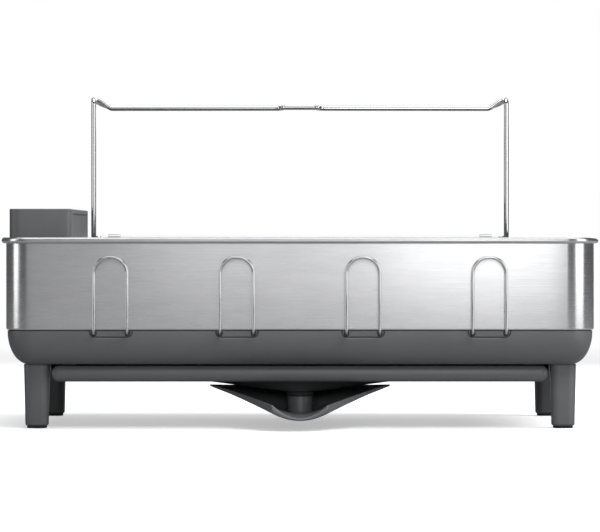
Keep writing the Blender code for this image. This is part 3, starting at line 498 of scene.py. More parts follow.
def plug_depth(x, z):
    """How far the tub's front lies in at (x, z): the groove, a bell curve of the distance to the
    plug's outline; the plug, 0.5 mm inside it; and the wire's holes."""
    beside = np.abs(x[..., None] - loop_middles).min(axis=-1)
    out_x = beside - (PLUG_HALF - PLUG_CORNER)
    out_z = (PLUG_LOW + PLUG_CORNER) - z
    outside = np.hypot(np.maximum(out_x, 0), np.maximum(out_z, 0))
    distance = outside + np.minimum(np.maximum(out_x, out_z), 0) - PLUG_CORNER
    groove = GROOVE_DEPTH * np.exp(-(distance / GROOVE_WIDTH) ** 2)
    plug = PLUG_DEPTH * step_up(-distance, -0.0002, SOFT_EDGE)
    wire_away = np.hypot(beside - loop_spacing / 2, z - foot_z)
    hole = HOLE_DEPTH * step_up(-wire_away, -HOLE_RADIUS, -HOLE_RADIUS + SOFT_EDGE)
    return np.maximum(groove, np.maximum(plug, hole))

# %% Make the tub and cut its drain slots
tub_radius = CORNER - (wall_high[0] - tub_high[0])
tub_top, tub_bottom, tub_floor = tub_high[2], tub_low[2], tub_low[2] + 0.0030
CURVE_TOP, CURVE, WALL = 0.0918, 0.020, 0.0050
HEM_LEDGE, HEM_TOP, HEM_DEPTH = 0.0930, 0.0952, 0.0026
GROOVE_FOR_HEM = ((-0.0003, HEM_LEDGE - 0.0001), (-HEM_DEPTH, HEM_LEDGE),
                  (-HEM_DEPTH, HEM_TOP), (0.0, HEM_TOP))
turn = np.linspace(np.pi / 2, 0, 26)
outer = np.stack([CURVE * (np.cos(turn) - 1), CURVE_TOP - (CURVE_TOP - tub_bottom) * np.sin(turn)], axis=1)
FINE_LOW, FINE_HIGH, FINE_STEP = 0.0862, 0.0927, 0.00024       # heights of the rows beside the plugs
fine = np.arange(FINE_LOW, FINE_HIGH, FINE_STEP)
fine_turn = np.arcsin(np.clip((CURVE_TOP - fine) / (CURVE_TOP - tub_bottom), 0, 1))
fine_rows = np.stack([CURVE * (np.cos(fine_turn) - 1), fine], axis=1)
outer = np.concatenate([outer[outer[:, 1] < fine[0]], fine_rows])
LIP_ROUND = 0.0012
lip = softened([(0.0, HEM_TOP), (0.0, tub_top), (-WALL, tub_top), (-WALL, CURVE_TOP)], LIP_ROUND, 5)[1:]
inner_turn = np.linspace(0, np.pi / 2, 18)[1:]
inner = np.stack([CURVE * (np.cos(inner_turn) - 1) - WALL * (1 - 0.6 * inner_turn / np.pi),
                  CURVE_TOP - (CURVE_TOP - tub_floor) * np.sin(inner_turn)], axis=1)
tub_section = np.concatenate([outer, GROOVE_FOR_HEM, lip, inner])
run_start, run_length = tub_low[0] + tub_radius, tub_high[0] - tub_low[0] - 2 * tub_radius
edges = np.concatenate([loop_middles - PLUG_HALF, loop_middles + PLUG_HALF])
inwards = np.sign(np.tile(loop_middles, 2) - edges)[:, None]
beside_edge = np.arange(-0.0012, 0.0072, 0.00028)
near = (edges[:, None] + inwards * beside_edge).ravel()
columns = np.unique(np.round(np.concatenate([(near - run_start) / run_length, even(40)]), 5))
tub_grid = boxed(tub_low[:2], tub_high[:2], tub_radius, tub_section, 16,
                 (even(20), even(12), columns, even(12)))
front_face = tub_grid[:len(outer)]
facing = (front_face[..., 1] < middle_y - 0.12) & (np.abs(front_face[..., 0]) < -run_start)
front_face[..., 1] += np.where(facing, plug_depth(front_face[..., 0], front_face[..., 2]), 0)
tub, plastic_volume = skin("tub", tub_grid)
SLOT_PITCH, SLOT_ROWS, SLOT_HALF, PAST = 0.060, (-0.075, 0.045), (0.004, 0.030), 0.002
slots = [slot_cutter((column * SLOT_PITCH, row + middle_y), SLOT_HALF, tub_bottom - PAST, tub_floor + PAST)
         for row in SLOT_ROWS for column in range(-3, 4)]
cut(tub, slots)
settle(tub, "rack", "base_plastic", "base_tub")
print("tub:", len(tub.data.polygons), "faces,", round(plastic_volume * 1e6), "cm3 of plastic")

# %% [markdown]
# ## Legs, pads and screws
#
# A leg is a square tube with round corners that tapers downwards, and it stands on a thin rubber
# pad. Four copies could share one mesh, but a piece's place has to be in its mesh here, so a loop
# works each one out. The screw's head is a low dome with a cross recess: its height over the
# plane is the dome's less the recess, which is deep where x or y is near the axis.

# %% Make the legs and their pads
TAPER, FOOT_ROUND, LEG_CORNER = 0.0013, 0.0020, 0.0085
LEG_PLACES = [f"{end}_{side}" for end in ("front", "rear") for side in ("left", "right")]
for corner in LEG_PLACES:
    low, high = corners_of(f"leg_{corner}")
    height = high[2] - low[2]
    rolled = np.radians(np.linspace(0, 90, 7))
    foot_offset = -TAPER - FOOT_ROUND * (1 - np.sin(rolled))
    foot = np.stack([foot_offset, low[2] + FOOT_ROUND * (1 - np.cos(rolled))], axis=1)
    leg_section = np.concatenate([foot, [(0, high[2])]])
    leg_grid = boxed(low[:2], high[:2], LEG_CORNER, leg_section, 12, (even(3),) * 4)
    place(f"leg_{corner}_shell", leg_grid, "rack", "base_plastic", f"leg_{corner}")
    low, high = corners_of(f"foot_pad_{corner}")
    pad_section = [(-0.0010, low[2]), (-0.0003, low[2] + 0.0002), (0, low[2] + 0.0007),
                   (0, high[2] - 0.0003), (-0.0003, high[2])]
    pad_grid = boxed(low[:2], high[:2], LEG_CORNER - TAPER, pad_section, 12)
    place(f"pad_{corner}", pad_grid, "rack", "pad_rubber", f"foot_pad_{corner}")
print("a leg is", round(height * 1000, 1), "mm high")

# %% Make the leg screws, with a cross recess
def recess(x, y, reach, half_width, depth):
    """The depth of a cross at (x, y): full within half_width of either axis, out to reach."""
    arm = np.minimum(np.abs(x), np.abs(y))
    length = np.maximum(np.abs(x), np.abs(y))
    return depth * step_up(-arm, -half_width * 1.5, -half_width) * step_up(-length, -reach, -reach * 0.8)


HEAD_HEIGHT, DOME_HEIGHT, HEAD_EDGE, SHANK, RECESS_HALF, RECESS_DEPTH = (
    0.0023, 0.0017, 0.0006, 0.0015, 0.00035, 0.0011)
for corner in LEG_PLACES:
    low, high = corners_of(f"leg_screw_{corner}")
    centre, head = (low + high) / 2, (high[0] - low[0]) / 2
    seat = high[2] - HEAD_HEIGHT
    share = np.linspace(1, 0, 26)
    dome = np.stack([head * share, seat + HEAD_EDGE + DOME_HEIGHT * np.sqrt(1 - 0.98 * share**2)], axis=1)
    shank = [(0.0, low[2]), (SHANK, low[2] + 0.0006), (SHANK, seat), (head * 0.96, seat),
             (head, seat + 0.0004)]
    screw_grid = turned_grid(np.concatenate([shank, dome]), (centre[0], centre[1], 0), 48)
    top = screw_grid[len(shank):]
    x, y = top[..., 0] - centre[0], top[..., 1] - centre[1]
    top[..., 2] -= recess(x, y, head * 0.62, RECESS_HALF, RECESS_DEPTH)
    place(f"screw_{corner}", screw_grid, "rack", "screw_steel", f"leg_screw_{corner}", capped=False)
print("a screw is", round((high[2] - low[2]) * 1000, 1), "mm long")

# %% [markdown]
# ## Cup loops
#
# A cup loop is one wire: out of the tub, up, over and back down. A bevelled curve would draw it
# too, but a circle carried along the softened line gives the same wire with a texture map that
# runs along it, which the draw lines need. The line's own corners come from the node's box, half
# a wire inside it.

# %% Make the four cup loops
LOOP_BEND, FOOT_BEND = 0.0150, 0.0040
for number, (low, high) in enumerate(loops, 1):
    half = LOOP_WIRE / 2
    left, right, top = low[0] + half, high[0] - half, high[2] - half
    out, foot = low[1] + half, high[1]
    corners = [(left, foot, foot_z), (left, out, foot_z), (left, out, top),
               (right, out, top), (right, out, foot_z), (right, foot, foot_z)]
    line = softened(corners, (0, FOOT_BEND, LOOP_BEND, LOOP_BEND, FOOT_BEND, 0), 12)
    place(f"cup_wire_{number}", wire_grid(line, half, 24), "rack", "wire_chrome", f"cup_loop_{number}",
          capped=False)


def length_of(line):
    """The length along a line of points."""
    return np.linalg.norm(np.diff(line, axis=0), axis=1).sum()


print("each cup loop takes", round(length_of(line) * 1000), "mm of wire")

# %% [markdown]
# ## The drip tray
#
# The tray is a shallow pan on two rails. Its floor falls to a drain tube through a funnel, which
# is a morph: each row is the weighted mean of an oval and of a small circle. The pan's rim, the
# funnel and the tube share their columns, so all of it is one closed surface that goes down the
# outside and comes back up the inside.

# %% Rows of the funnel
tray_low, tray_high = corners_of("drip_tray")
seal_low, seal_high = corners_of("drain_seal")
snap_low, snap_high = corners_of("spout_snap_ring")
drain = np.array([(seal_low[0] + seal_high[0]) / 2, (seal_low[1] + seal_high[1]) / 2])
TUBE_OUT, TUBE_IN, TUBE_END = 0.0094, 0.0078, tray_low[2]
RIM_FUNNEL, LOW_FUNNEL, THROAT, PAN_SKIN = 0.0455, 0.0332, 0.0135, 0.0022
FUNNEL_HALF, FUNNEL_BACK, FUNNEL_FRONT = 0.119, 0.030, 0.130
PAN_CORNER, PAN_IN_RAIL, PAN_DEPTH_HALF = 0.022, 0.0024, 0.1462
rail_high = corners_of("tray_rail_right")[1]
pan_half = np.array([rail_high[0] - PAN_IN_RAIL, PAN_DEPTH_HALF])
pan_middle = np.array([0.0, middle_y])
pan_runs = (even(15), even(9), even(15), even(9))


def pan_rows(profile):
    """Rows round the pan, at (outward offset, z)."""
    return boxed(pan_middle - pan_half, pan_middle + pan_half, PAN_CORNER, profile, 8, pan_runs)


def funnel_rows(share, throat, z):
    """Rows between the funnel's oval rim, share 0, and its throat, share 1: oval + (circle -
    oval) share. Each column keeps its angle round the pan."""
    around = pan_rows([(0, 0)])[0, :, :2] - pan_middle
    angle = np.arctan2(around[:, 1] / pan_half[1], around[:, 0] / pan_half[0])
    compass = np.stack([np.cos(angle), np.sin(angle)], axis=1)
    oval = compass * [FUNNEL_HALF, (FUNNEL_BACK + FUNNEL_FRONT) / 2]
    oval = oval + pan_middle + [0, (FUNNEL_BACK - FUNNEL_FRONT) / 2]
    share, z = (np.asarray(values, float)[:, None, None] for values in (share, z))
    flat = oval + (drain + np.asarray(throat, float).reshape(-1, 1, 1) * compass - oval) * share
    return np.concatenate([flat, np.broadcast_to(z, flat.shape[:2] + (1,))], axis=2)

# %% Make the tray's pan
BODY = 0.0055                             # how far the pan's wall stands in from its flange
PAN_FLOOR, WALL_ROOT, FLANGE_LOW, FLANGE_HIGH = 0.0470, 0.0500, 0.0550, 0.0585
fall = np.linspace(0, 1, 14)
groove_low, groove_high, groove = snap_low[2] - 0.0003, snap_high[2] + 0.0003, 0.0088
flange_rows = [(-BODY - 0.004, PAN_FLOOR), (-BODY - 0.0016, PAN_FLOOR + 0.0008),
               (-BODY - 0.0004, WALL_ROOT - 0.0010), (-BODY, WALL_ROOT), (-BODY, FLANGE_LOW), (0, FLANGE_LOW),
               (0, FLANGE_HIGH), (-BODY - 0.001, FLANGE_HIGH), (-BODY - 0.002, WALL_ROOT + 0.0015),
               (-BODY - 0.0032, WALL_ROOT - 0.0002), (-BODY - 0.005, WALL_ROOT - 0.0008)]
pan_grid = np.concatenate([
    funnel_rows([1] * 7, [TUBE_OUT, TUBE_OUT, groove, groove, TUBE_OUT, TUBE_OUT, THROAT],
                [TUBE_END, groove_low, groove_low, groove_high, groove_high, LOW_FUNNEL, LOW_FUNNEL]),
    funnel_rows(1 - fall, THROAT, LOW_FUNNEL + (RIM_FUNNEL - LOW_FUNNEL) * fall),
    pan_rows(flange_rows),
    funnel_rows(fall, np.linspace(THROAT, TUBE_IN, 14),
                RIM_FUNNEL + PAN_SKIN - (RIM_FUNNEL - LOW_FUNNEL) * fall),
    funnel_rows([1], [TUBE_IN], [TUBE_END])])
place("tray_pan", pan_grid, "drip_tray", "tray_plastic", "drip_tray", loop_rows=True, sharp=32)
print("the funnel falls", round((RIM_FUNNEL - LOW_FUNNEL) * 1000, 1), "mm to the drain")

# %% [markdown]
# The tray's front is a rounded bar, which is also its handle. Its section bulges forwards, and at
# both ends it shrinks like the side of an ellipse: with d the distance from the end, up to a
# radius R, the scale is the root of 1 - (1 - d / R) squared.

# %% Make the tray's front bar
bar_half, bar_low, bar_top = tray_high[0], 0.0442, tray_high[2]
bar_front, bar_back = tray_low[1], middle_y - pan_half[1] + 0.0012
BAR_END, BLUNT, BULGE_ANGLE = 0.0072, 0.8, 84
ends = BAR_END * (1 - np.cos(np.linspace(0.05, np.pi / 2, 14)))
between = np.linspace(-bar_half, bar_half, 20)[2:-2]
stations = np.concatenate([-bar_half + ends, between, bar_half - ends[::-1]])
distance = bar_half - np.abs(stations)
scale = np.sqrt(1 - (1 - np.clip(distance / BAR_END, 0, 1)) ** 2)
lean = np.radians(np.linspace(-BULGE_ANGLE, BULGE_ANGLE, 19))
bulge = np.stack([-(bar_back - bar_front) * np.cos(lean) ** BLUNT, np.sin(lean)], axis=1)
section = np.concatenate([[(0, -1)], bulge, [(0, 1)]])
half_height, bar_middle = (bar_top - bar_low) / 2, (bar_top + bar_low) / 2
bar_grid = np.stack([
    np.broadcast_to(stations[:, None], (len(stations), len(section))),
    bar_back + section[None, :, 0] * scale[:, None],
    bar_middle + half_height * section[None, :, 1] * scale[:, None]], axis=2)
place("tray_front", bar_grid, "drip_tray", "tray_plastic", "drip_tray", sharp=50)
print("the front bar is", round((bar_top - bar_low) * 1000, 1), "mm high")

# %% Make the drain seal and the snap ring
def ring_section(inside, outside, low, high, soften):
    """The section of a ring: a rectangle of radius and height with its corners softened."""
    return softened([(inside, low), (outside, low), (outside, high), (inside, high)], soften, 4, True)


for name, node, slot, inside, soften in (
        ("drain_ring_seal", "drain_seal", "seal_rubber", TUBE_OUT + 0.0003, 0.0008),
        ("snap_ring", "spout_snap_ring", "screw_steel", 0.0091, 0.0004)):
    low, high = corners_of(node)
    section = ring_section(inside, (high[0] - low[0]) / 2, low[2], high[2], soften)
    ring_grid = turned_grid(section, (drain[0], drain[1], 0), 56)
    place(name, ring_grid, "drip_tray", slot, node, loop_rows=True)

# %% [markdown]
# ## The spout
#
# The spout is a shallow scoop under the drain. Behind its pivot it is a low round wing, and ahead
# it narrows and deepens into a lip shaped like a U. It is a mid-surface with a thickness: one
# parameter runs from the back to the lip, the other across. The thickness fades out like the side
# of an ellipse at both ends, so both edges close by themselves and are round.

# %% The spout's section at a distance ahead of its pivot
spout_low, spout_high = corners_of("spout")
REACH, BACK = drain[1] - spout_low[1], spout_high[1] - drain[1]
WING_HALF, WING_TOP, WING_EDGE, BACK_DROP = spout_high[0], spout_high[2], 0.0014, 0.0030
LIP_HALF, LIP_TOP, LIP_LOW, LIP_SIDE = 0.0262, 0.0243, spout_low[2], 0.0171
KEEL, SPOUT_SKIN, ROUND_END, FLAT_SHARE = 0.0116, 0.0026, 0.0016, 0.15


def spout_point(ahead_of_pivot, across, lower):
    """A point of the spout's lower or upper side, for arrays of the two parameters.

    a and b are the shares of the way to the lip and to the back. Half the width falls from the
    wings to the lip with a to the power 0.9, and closes behind like an ellipse. The rim falls
    straight to the lip. Between keel and side, the height goes with |across| to the power
    1.1 + 0.9 a squared, beyond a flat share that shrinks to nothing at the lip, so the section
    changes from a V with a flat bottom to a U."""
    a = np.maximum(ahead_of_pivot, 0) / REACH
    b = np.maximum(-ahead_of_pivot, 0) / BACK
    half = (WING_HALF + (LIP_HALF - WING_HALF) * a**0.9) * np.sqrt(np.maximum(1 - (0.985 * b) ** 2, 0))
    rim = WING_TOP + (LIP_TOP - WING_TOP) * a - BACK_DROP * b**1.5
    side = rim - WING_EDGE - (LIP_TOP - LIP_SIDE - WING_EDGE) * a
    keel = KEEL + (LIP_LOW - KEEL) * a
    keel = keel + (rim - 0.0032 - keel) * b**2.2
    flat = FLAT_SHARE * (1 - a)
    bowl = (np.maximum(np.sqrt(across**2 + 0.0004) - flat, 0) / (1 - flat)) ** (1.1 + 0.9 * a**2)
    if lower:
        z, width = keel + (side - keel) * bowl, half
    else:
        z, width = keel + SPOUT_SKIN + (rim - keel - SPOUT_SKIN) * bowl, half - 0.0016
    return np.stack([drain[0] + across * width, drain[1] - ahead_of_pivot, np.minimum(z, rim)], axis=-1)

# %% Make the scoop
stations = np.concatenate([-BACK + ROUND_END * (1 - np.cos(np.linspace(0, np.pi / 2, 6))),
                           np.linspace(-BACK + 0.004, REACH - 0.004, 62),
                           REACH - ROUND_END * (1 - np.cos(np.linspace(np.pi / 2, 0, 6)))])
EDGE_SHARE = 0.35                         # draws the points across towards both edges
across = (np.sin(np.linspace(-np.pi / 2, np.pi / 2, 61)) * EDGE_SHARE
          + np.linspace(-1, 1, 61) * (1 - EDGE_SHARE))
station_grid, across_grid = np.meshgrid(stations, across, indexing="ij")
under = spout_point(station_grid, across_grid, True)
over = spout_point(station_grid, across_grid, False)
from_end = np.minimum(REACH - stations, BACK + stations)
fade = np.sqrt(1 - (1 - np.clip(from_end / ROUND_END, 0, 1)) ** 2)[:, None, None]
centre = (under + over) / 2
under, over = centre + (under - centre) * fade, centre + (over - centre) * fade
rim_left, rim_right = under[:, :1].copy(), under[:, -1:].copy()
rim_left[..., 2], rim_right[..., 2] = over[:, :1, 2], over[:, -1:, 2]
scoop_grid = np.concatenate([under, rim_right, over[:, ::-1], rim_left], axis=1)
place("spout_scoop", scoop_grid, "spout", "tray_plastic", "spout", capped=False, sharp=45)
print("the spout reaches", round(REACH * 1000), "mm ahead of its pivot")

# %% [markdown]
# The scoop hangs from the drain tube by a round hub with a groove inside for the snap ring. Three
# windows at its foot let the water out of the tube into the scoop.

# %% Make the hub
HUB_OUT, HUB_IN, HUB_GROOVE, HUB_TOP, hub_root = 0.0122, 0.0098, 0.0109, 0.0288, KEEL + 0.0014
HUB_ROUND, RING_SPACE = 0.0006, 0.0006
hub_lip = softened([(HUB_OUT, hub_root), (HUB_OUT, HUB_TOP), (HUB_IN, HUB_TOP), (HUB_IN, HUB_TOP - 0.002)],
                   HUB_ROUND, 4)[1:]
hub_section = np.concatenate([
    [(HUB_IN, hub_root), (HUB_OUT, hub_root)], hub_lip,
    [(HUB_IN, snap_high[2] + RING_SPACE), (HUB_GROOVE, snap_high[2] + RING_SPACE),
     (HUB_GROOVE, snap_low[2] - RING_SPACE), (HUB_IN, snap_low[2] - RING_SPACE)]])
hub, _ = skin("spout_hub", turned_grid(hub_section, (drain[0], drain[1], 0), 72), loop_rows=True)
window_low = KEEL + SPOUT_SKIN + 0.0006
WINDOW_HEIGHT, WINDOW_ROUND, WALL_MIDDLE = 0.0050, 0.0008, 0.011
windows = []
for side_x, side_y in ((-1, 0), (1, 0), (0, 1)):
    centre = drain + np.array([side_x, side_y]) * WALL_MIDDLE
    half = np.array([0.003, 0.005]) if side_x else np.array([0.005, 0.003])
    heights = [(0, window_low), (0, window_low + WINDOW_HEIGHT)]
    windows.append(skin("window_cutter", boxed(centre - half, centre + half, WINDOW_ROUND, heights, 4))[0])
cut(hub, windows, 40)
settle(hub, "spout", "tray_plastic", "spout")

# %% [markdown]
# ## The cutlery caddy
#
# The caddy is an open box on two feet, by the left wall. Above the tub it is as wide as the rim
# allows, and below it steps in to fit inside the tub's curve, so the box that its rows go round
# changes with the height. Its side has a shallow panel, again a depth that depends on where the
# point is: full inside a rectangle, and fading out over its edge.

# %% Make the caddy
caddy_low, caddy_high = corners_of("caddy_body")
CADDY_WALL, STEP, caddy_top = 0.0020, 0.1052, caddy_high[2]
FOOT_IN, SHOULDER_IN, FLOOR = 0.0235, 0.0055, 0.0672
wide_low, wide_high = np.array([caddy_low[0], caddy_low[1]]), np.array([caddy_high[0], caddy_high[1]])
caddy_rows = np.array([        # offset, height, and how far the foot is in
    (-0.0012, FLOOR, FOOT_IN), (-0.0003, FLOOR + 0.0004, FOOT_IN), (0, FLOOR + 0.0013, FOOT_IN),
    (0, tub_top + 0.0004, SHOULDER_IN), (0, STEP - 0.0010, 0.0016), (0, STEP, 0.0003), (0, STEP + 0.0012, 0)])
panel_heights = np.concatenate([np.linspace(STEP + 0.006, STEP + 0.0086, 7), np.linspace(0.12, 0.19, 8),
                                np.linspace(caddy_top - 0.0062, caddy_top - 0.0030, 9)])
side_rows = np.stack([0 * panel_heights, panel_heights, 0 * panel_heights], axis=1)
lip = softened([(0, caddy_top - 0.002), (0, caddy_top), (-CADDY_WALL, caddy_top),
                (-CADDY_WALL, caddy_top - 0.002)], 0.0008, 4)
lip_rows = np.column_stack([lip, np.zeros(len(lip))])
inside_rows = np.array([(-CADDY_WALL, STEP + 0.0010, 0), (-CADDY_WALL, tub_top + 0.0016, SHOULDER_IN),
                        (-CADDY_WALL, FLOOR + CADDY_WALL + 0.0010, FOOT_IN),
                        (-CADDY_WALL - 0.0010, FLOOR + CADDY_WALL, FOOT_IN)])
rows = np.concatenate([caddy_rows, side_rows, lip_rows, inside_rows])
row_low = wide_low + rows[:, 2:] * [1.0, 0.5]
row_high = wide_high - rows[:, 2:] * [0.0, 0.8]
PANEL_ENDS, PANEL_DEPTH, PANEL_EDGE = 0.030, 0.0009, 0.0007
PANEL_LOW, PANEL_HIGH = STEP + 0.0072, caddy_top - 0.0045
LEFT_CORNER, RIGHT_CORNER = 0.011, 0.005
near = np.linspace(-0.0012, 0.0012, 9)
caddy_length = wide_high[1] - wide_low[1]
panel_ends = (PANEL_ENDS + near) / caddy_length
panel_runs = np.sort(np.concatenate([panel_ends, even(14), 1 - panel_ends]))
caddy_grid = boxed(row_low, row_high, (LEFT_CORNER, RIGHT_CORNER), rows[:, :2], 12,
                   (even(4), even(14), even(4), panel_runs))
outside = caddy_grid[:len(caddy_rows) + len(side_rows)]
y, z = outside[..., 1], outside[..., 2]
from_ends = np.minimum(y - wide_low[1] - PANEL_ENDS, wide_high[1] - PANEL_ENDS - y)
from_edge = np.minimum(from_ends, np.minimum(z - PANEL_LOW, PANEL_HIGH - z))
on_side = outside[..., 0] > wide_high[0] - 0.0001
outside[..., 0] -= np.where(on_side, PANEL_DEPTH * step_up(from_edge, -PANEL_EDGE / 2, PANEL_EDGE / 2), 0)
caddy, _ = skin("caddy_box", caddy_grid)
foot_x = (caddy_low[0] + caddy_high[0]) / 2 + 0.010
DRAIN_PLACES, DRAIN_HALF = (-0.110, -0.075, -0.020, 0.020, 0.075, 0.110), (0.016, 0.002)
FOOT_PLACES, FOOT_HALF, FOOT_CORNER = (-0.095, 0.100), np.array([0.012, 0.010]), 0.003
cut(caddy, [slot_cutter((foot_x, middle_y + y), DRAIN_HALF, FLOOR - 0.002, FLOOR + 0.006)
            for y in DRAIN_PLACES])
settle(caddy, "caddy", "caddy_plastic", "caddy_body")
foot_section = [(-0.0008, caddy_low[2]), (0, caddy_low[2] + 0.0008), (0, FLOOR + 0.0003)]
for number, y in enumerate(FOOT_PLACES, 1):
    centre = np.array([foot_x, middle_y + y])
    foot_grid = boxed(centre - FOOT_HALF, centre + FOOT_HALF, FOOT_CORNER, foot_section, 6)
    place(f"caddy_foot_{number}", foot_grid, "caddy", "caddy_plastic")
print("caddy:", np.round((caddy_high - caddy_low) * 1000), "mm")

# %% [markdown]
# The dividers are thin plates, and the knife insert is a block with four slits. A plate is a
# rectangle with round corners too, only stood on edge: its rows are worked out lying down, with
# the thickness as height, and then its axes are swapped.

# %% Make the dividers and the knife insert
PLATE_ROUND = ((-0.0005, 0), (-0.0001, 0.0002), (0, 0.0006))     # offset, and height over a face
for number in (1, 2):
    low, high = corners_of(f"caddy_divider_{number}")
    profile = ([(offset, low[1] + rise) for offset, rise in PLATE_ROUND]
               + [(offset, high[1] - rise) for offset, rise in PLATE_ROUND[::-1]])
    lying = boxed(low[[0, 2]], high[[0, 2]], 0.004, profile, 8)
    place(f"divider_{number}", lying[..., [0, 2, 1]], "caddy", "caddy_plastic", f"caddy_divider_{number}")

low, high = corners_of("knife_insert")
top_edge = softened([(0, low[2] + 0.002), (0, high[2]), (-0.004, high[2])], 0.0012, 5)
insert_rows = np.concatenate([[(-0.0010, low[2]), (0, low[2] + 0.0010)], top_edge])
insert, _ = skin("knife_block", boxed(low[:2], high[:2], (0.0085, 0.0045), insert_rows, 10))
slit_x, slit_half = (low[0] + high[0]) / 2 + 0.001, (high[0] - low[0]) / 2 - 0.008
SLITS, SLIT_START, SLIT_PITCH, SLIT_WIDTH_HALF = 4, 0.014, 0.0245, 0.0026
slits = [slot_cutter((slit_x, low[1] + SLIT_START + SLIT_PITCH * number), (slit_half, SLIT_WIDTH_HALF),
                     low[2] - 0.002, high[2] + 0.002) for number in range(SLITS)]
cut(insert, slits)
settle(insert, "caddy", "caddy_plastic", "knife_insert")
print("knife slits:", len(slits), "each", round(slit_half * 2000), "mm long")

# %% [markdown]
# ## The holder for stemmed glasses
#
# One bent wire makes the hinged cross wire, both uprights, the arms and the rear rail. Two
# hairpin wires make the front rail, and their turned ends leave a gap where a stem goes in. The
# arms turn and drop at the same time, so their line is a quarter circle in plan whose height
# follows the smooth step.

# %% The holder's lines
frame_low, frame_high = corners_of("holder_frame")
hinge = next(joint for joint in frame["joints"] if joint["name"] == "glass_holder_fold")["pos_m"]
HOLDER_WIRE = 0.0049
wire_half = HOLDER_WIRE / 2
upright_x, upright_top = frame_high[0] - wire_half, frame_high[2] - wire_half
upright_y = frame_low[1] + wire_half
REAR_RAIL_Y, REAR_RAIL_Z, ARM_BEND, HOLDER_BEND = middle_y + 0.1350, 0.3122, 0.020, 0.006
FRONT_RAIL_Y, FRONT_RAIL_Z, ENTRY_HALF, ENTRY_TURN = middle_y + 0.1050, 0.3104, 0.0168, 0.0080


def half_frame(side, steps=14):
    """One half of the frame's line, from the hinge round to the rear rail. The arm's end is at
    (1 - cos a) towards the middle and sin a back, while its height eases down."""
    corners = [(side * (upright_x - 0.02), hinge[1], hinge[2]), (side * upright_x, hinge[1], hinge[2]),
               (side * upright_x, upright_y, hinge[2]), (side * upright_x, upright_y, upright_top),
               (side * upright_x, REAR_RAIL_Y - ARM_BEND, upright_top)]
    rising = softened(corners, (0, HOLDER_BEND, HOLDER_BEND, HOLDER_BEND, 0), 10)[1:-1]
    turn = np.linspace(0, np.pi / 2, steps)
    arm = np.stack([side * (upright_x - ARM_BEND * (1 - np.cos(turn))),
                    REAR_RAIL_Y - ARM_BEND + ARM_BEND * np.sin(turn),
                    upright_top + (REAR_RAIL_Z - upright_top) * step_up(turn, 0, np.pi / 2)], axis=1)
    return np.concatenate([rising, arm])


def half_rail(side, steps=14):
    """One hairpin of the front rail: it eases down from the upright, runs to the entry, and turns
    forwards round a quarter circle."""
    share = np.linspace(0, 1, steps)
    start = upright_x - wire_half - 0.0003
    slope = np.stack([side * (start - 0.016 * share), np.full(steps, FRONT_RAIL_Y),
                      upright_top - 0.0002 + (FRONT_RAIL_Z - upright_top) * step_up(share, 0, 1)], axis=1)
    entry = softened([(side * 0.10, FRONT_RAIL_Y, FRONT_RAIL_Z),
                      (side * ENTRY_HALF, FRONT_RAIL_Y, FRONT_RAIL_Z),
                      (side * ENTRY_HALF, FRONT_RAIL_Y - ENTRY_TURN - 0.004, FRONT_RAIL_Z + 0.001)],
                     ENTRY_TURN, 12)
    return np.concatenate([slope, entry[1:]])

# %% Make the holder
frame_line = np.concatenate([half_frame(1), half_frame(-1)[::-1]])
place("holder_wire", wire_grid(frame_line, wire_half, 28, loop=True), "glass_holder", "wire_chrome",
      "holder_frame", loop_rows=True)
for name, side in (("left", -1), ("right", 1)):
    place(f"stem_rail_{name}", wire_grid(half_rail(side), wire_half, 28), "glass_holder", "wire_chrome",
          f"holder_rail_{name}", capped=False)
print("the holder's frame takes", round(length_of(frame_line), 2), "m of wire")

# %% [markdown]
# ## The hinge brackets
#
# Each bracket is a stamped shelf behind the rear wall, with an eye that the cross wire turns in.
# The shelf is the holder's stop. Its section is an outline of y and z carried along x, with the
# first and last rows pulled in a little, so its edges aren't razor sharp.

# %% Make the brackets
CLEARANCE = 0.0003                        # between the bracket, the wall and the wire
SHELF_ROUND = (0.0006, 0.0004, 0.0008, 0.0008, 0.0020, 0.0006)
EYE_PLACE, EYE_OUT, EYE_HALF = 0.1895, 0.0044, 0.006
inner_wall = wall_high[1] - SHEET - CLEARANCE
for side in ("left", "right"):
    low, high = corners_of(f"hinge_bracket_{side}")
    shelf_z, shelf_front = hinge[2] - wire_half - CLEARANCE, low[1]
    outline = softened([(inner_wall, low[2]), (inner_wall, shelf_z - 0.0004), (shelf_front, shelf_z),
                        (shelf_front, shelf_z - 0.0020), (inner_wall - 0.0030, shelf_z - 0.0062),
                        (inner_wall - 0.0016, low[2])], SHELF_ROUND, 4, True)
    pull = np.array([0.0003, 0.00008, 0, 0, 0.00008, 0.0003])
    edge = np.array([0, 0.0001, 0.0003])
    shelf_x = np.concatenate([low[0] + edge, high[0] - edge[::-1]])
    inwards = unit(outline.mean(axis=0) - outline)
    section = outline + inwards * pull[:, None, None]
    along = np.broadcast_to(shelf_x[:, None, None], section.shape[:2] + (1,))
    shelf_grid = np.concatenate([along, section], axis=2)
    place(f"stop_shelf_{side}", shelf_grid, "rack", "bracket_steel", f"hinge_bracket_{side}", sharp=30)
    eye_middle = EYE_PLACE * (-1 if side == "left" else 1)
    eye_section = ring_section(wire_half + 0.0004, EYE_OUT, -EYE_HALF, EYE_HALF, 0.0005)
    eye_grid = turned_grid(eye_section, (0, 0, 0), 40)[..., [2, 0, 1]] + [eye_middle, hinge[1], hinge[2]]
    place(f"hinge_eye_{side}", eye_grid, "rack", "bracket_steel", loop_rows=True)
print("the shelf is", round((inner_wall - shelf_front) * 1000), "mm deep")

# %% [markdown]
# ## The plate rack
#
# The plate rack lifts out. It is a wire frame on four rubber feet with cross wires and two rows
# of tines. A row of tines is a single wire that goes up, over and down eleven times: the corners
# of one tine are worked out once, and the whole row is that pattern plus the tine's number times
# the pitch.

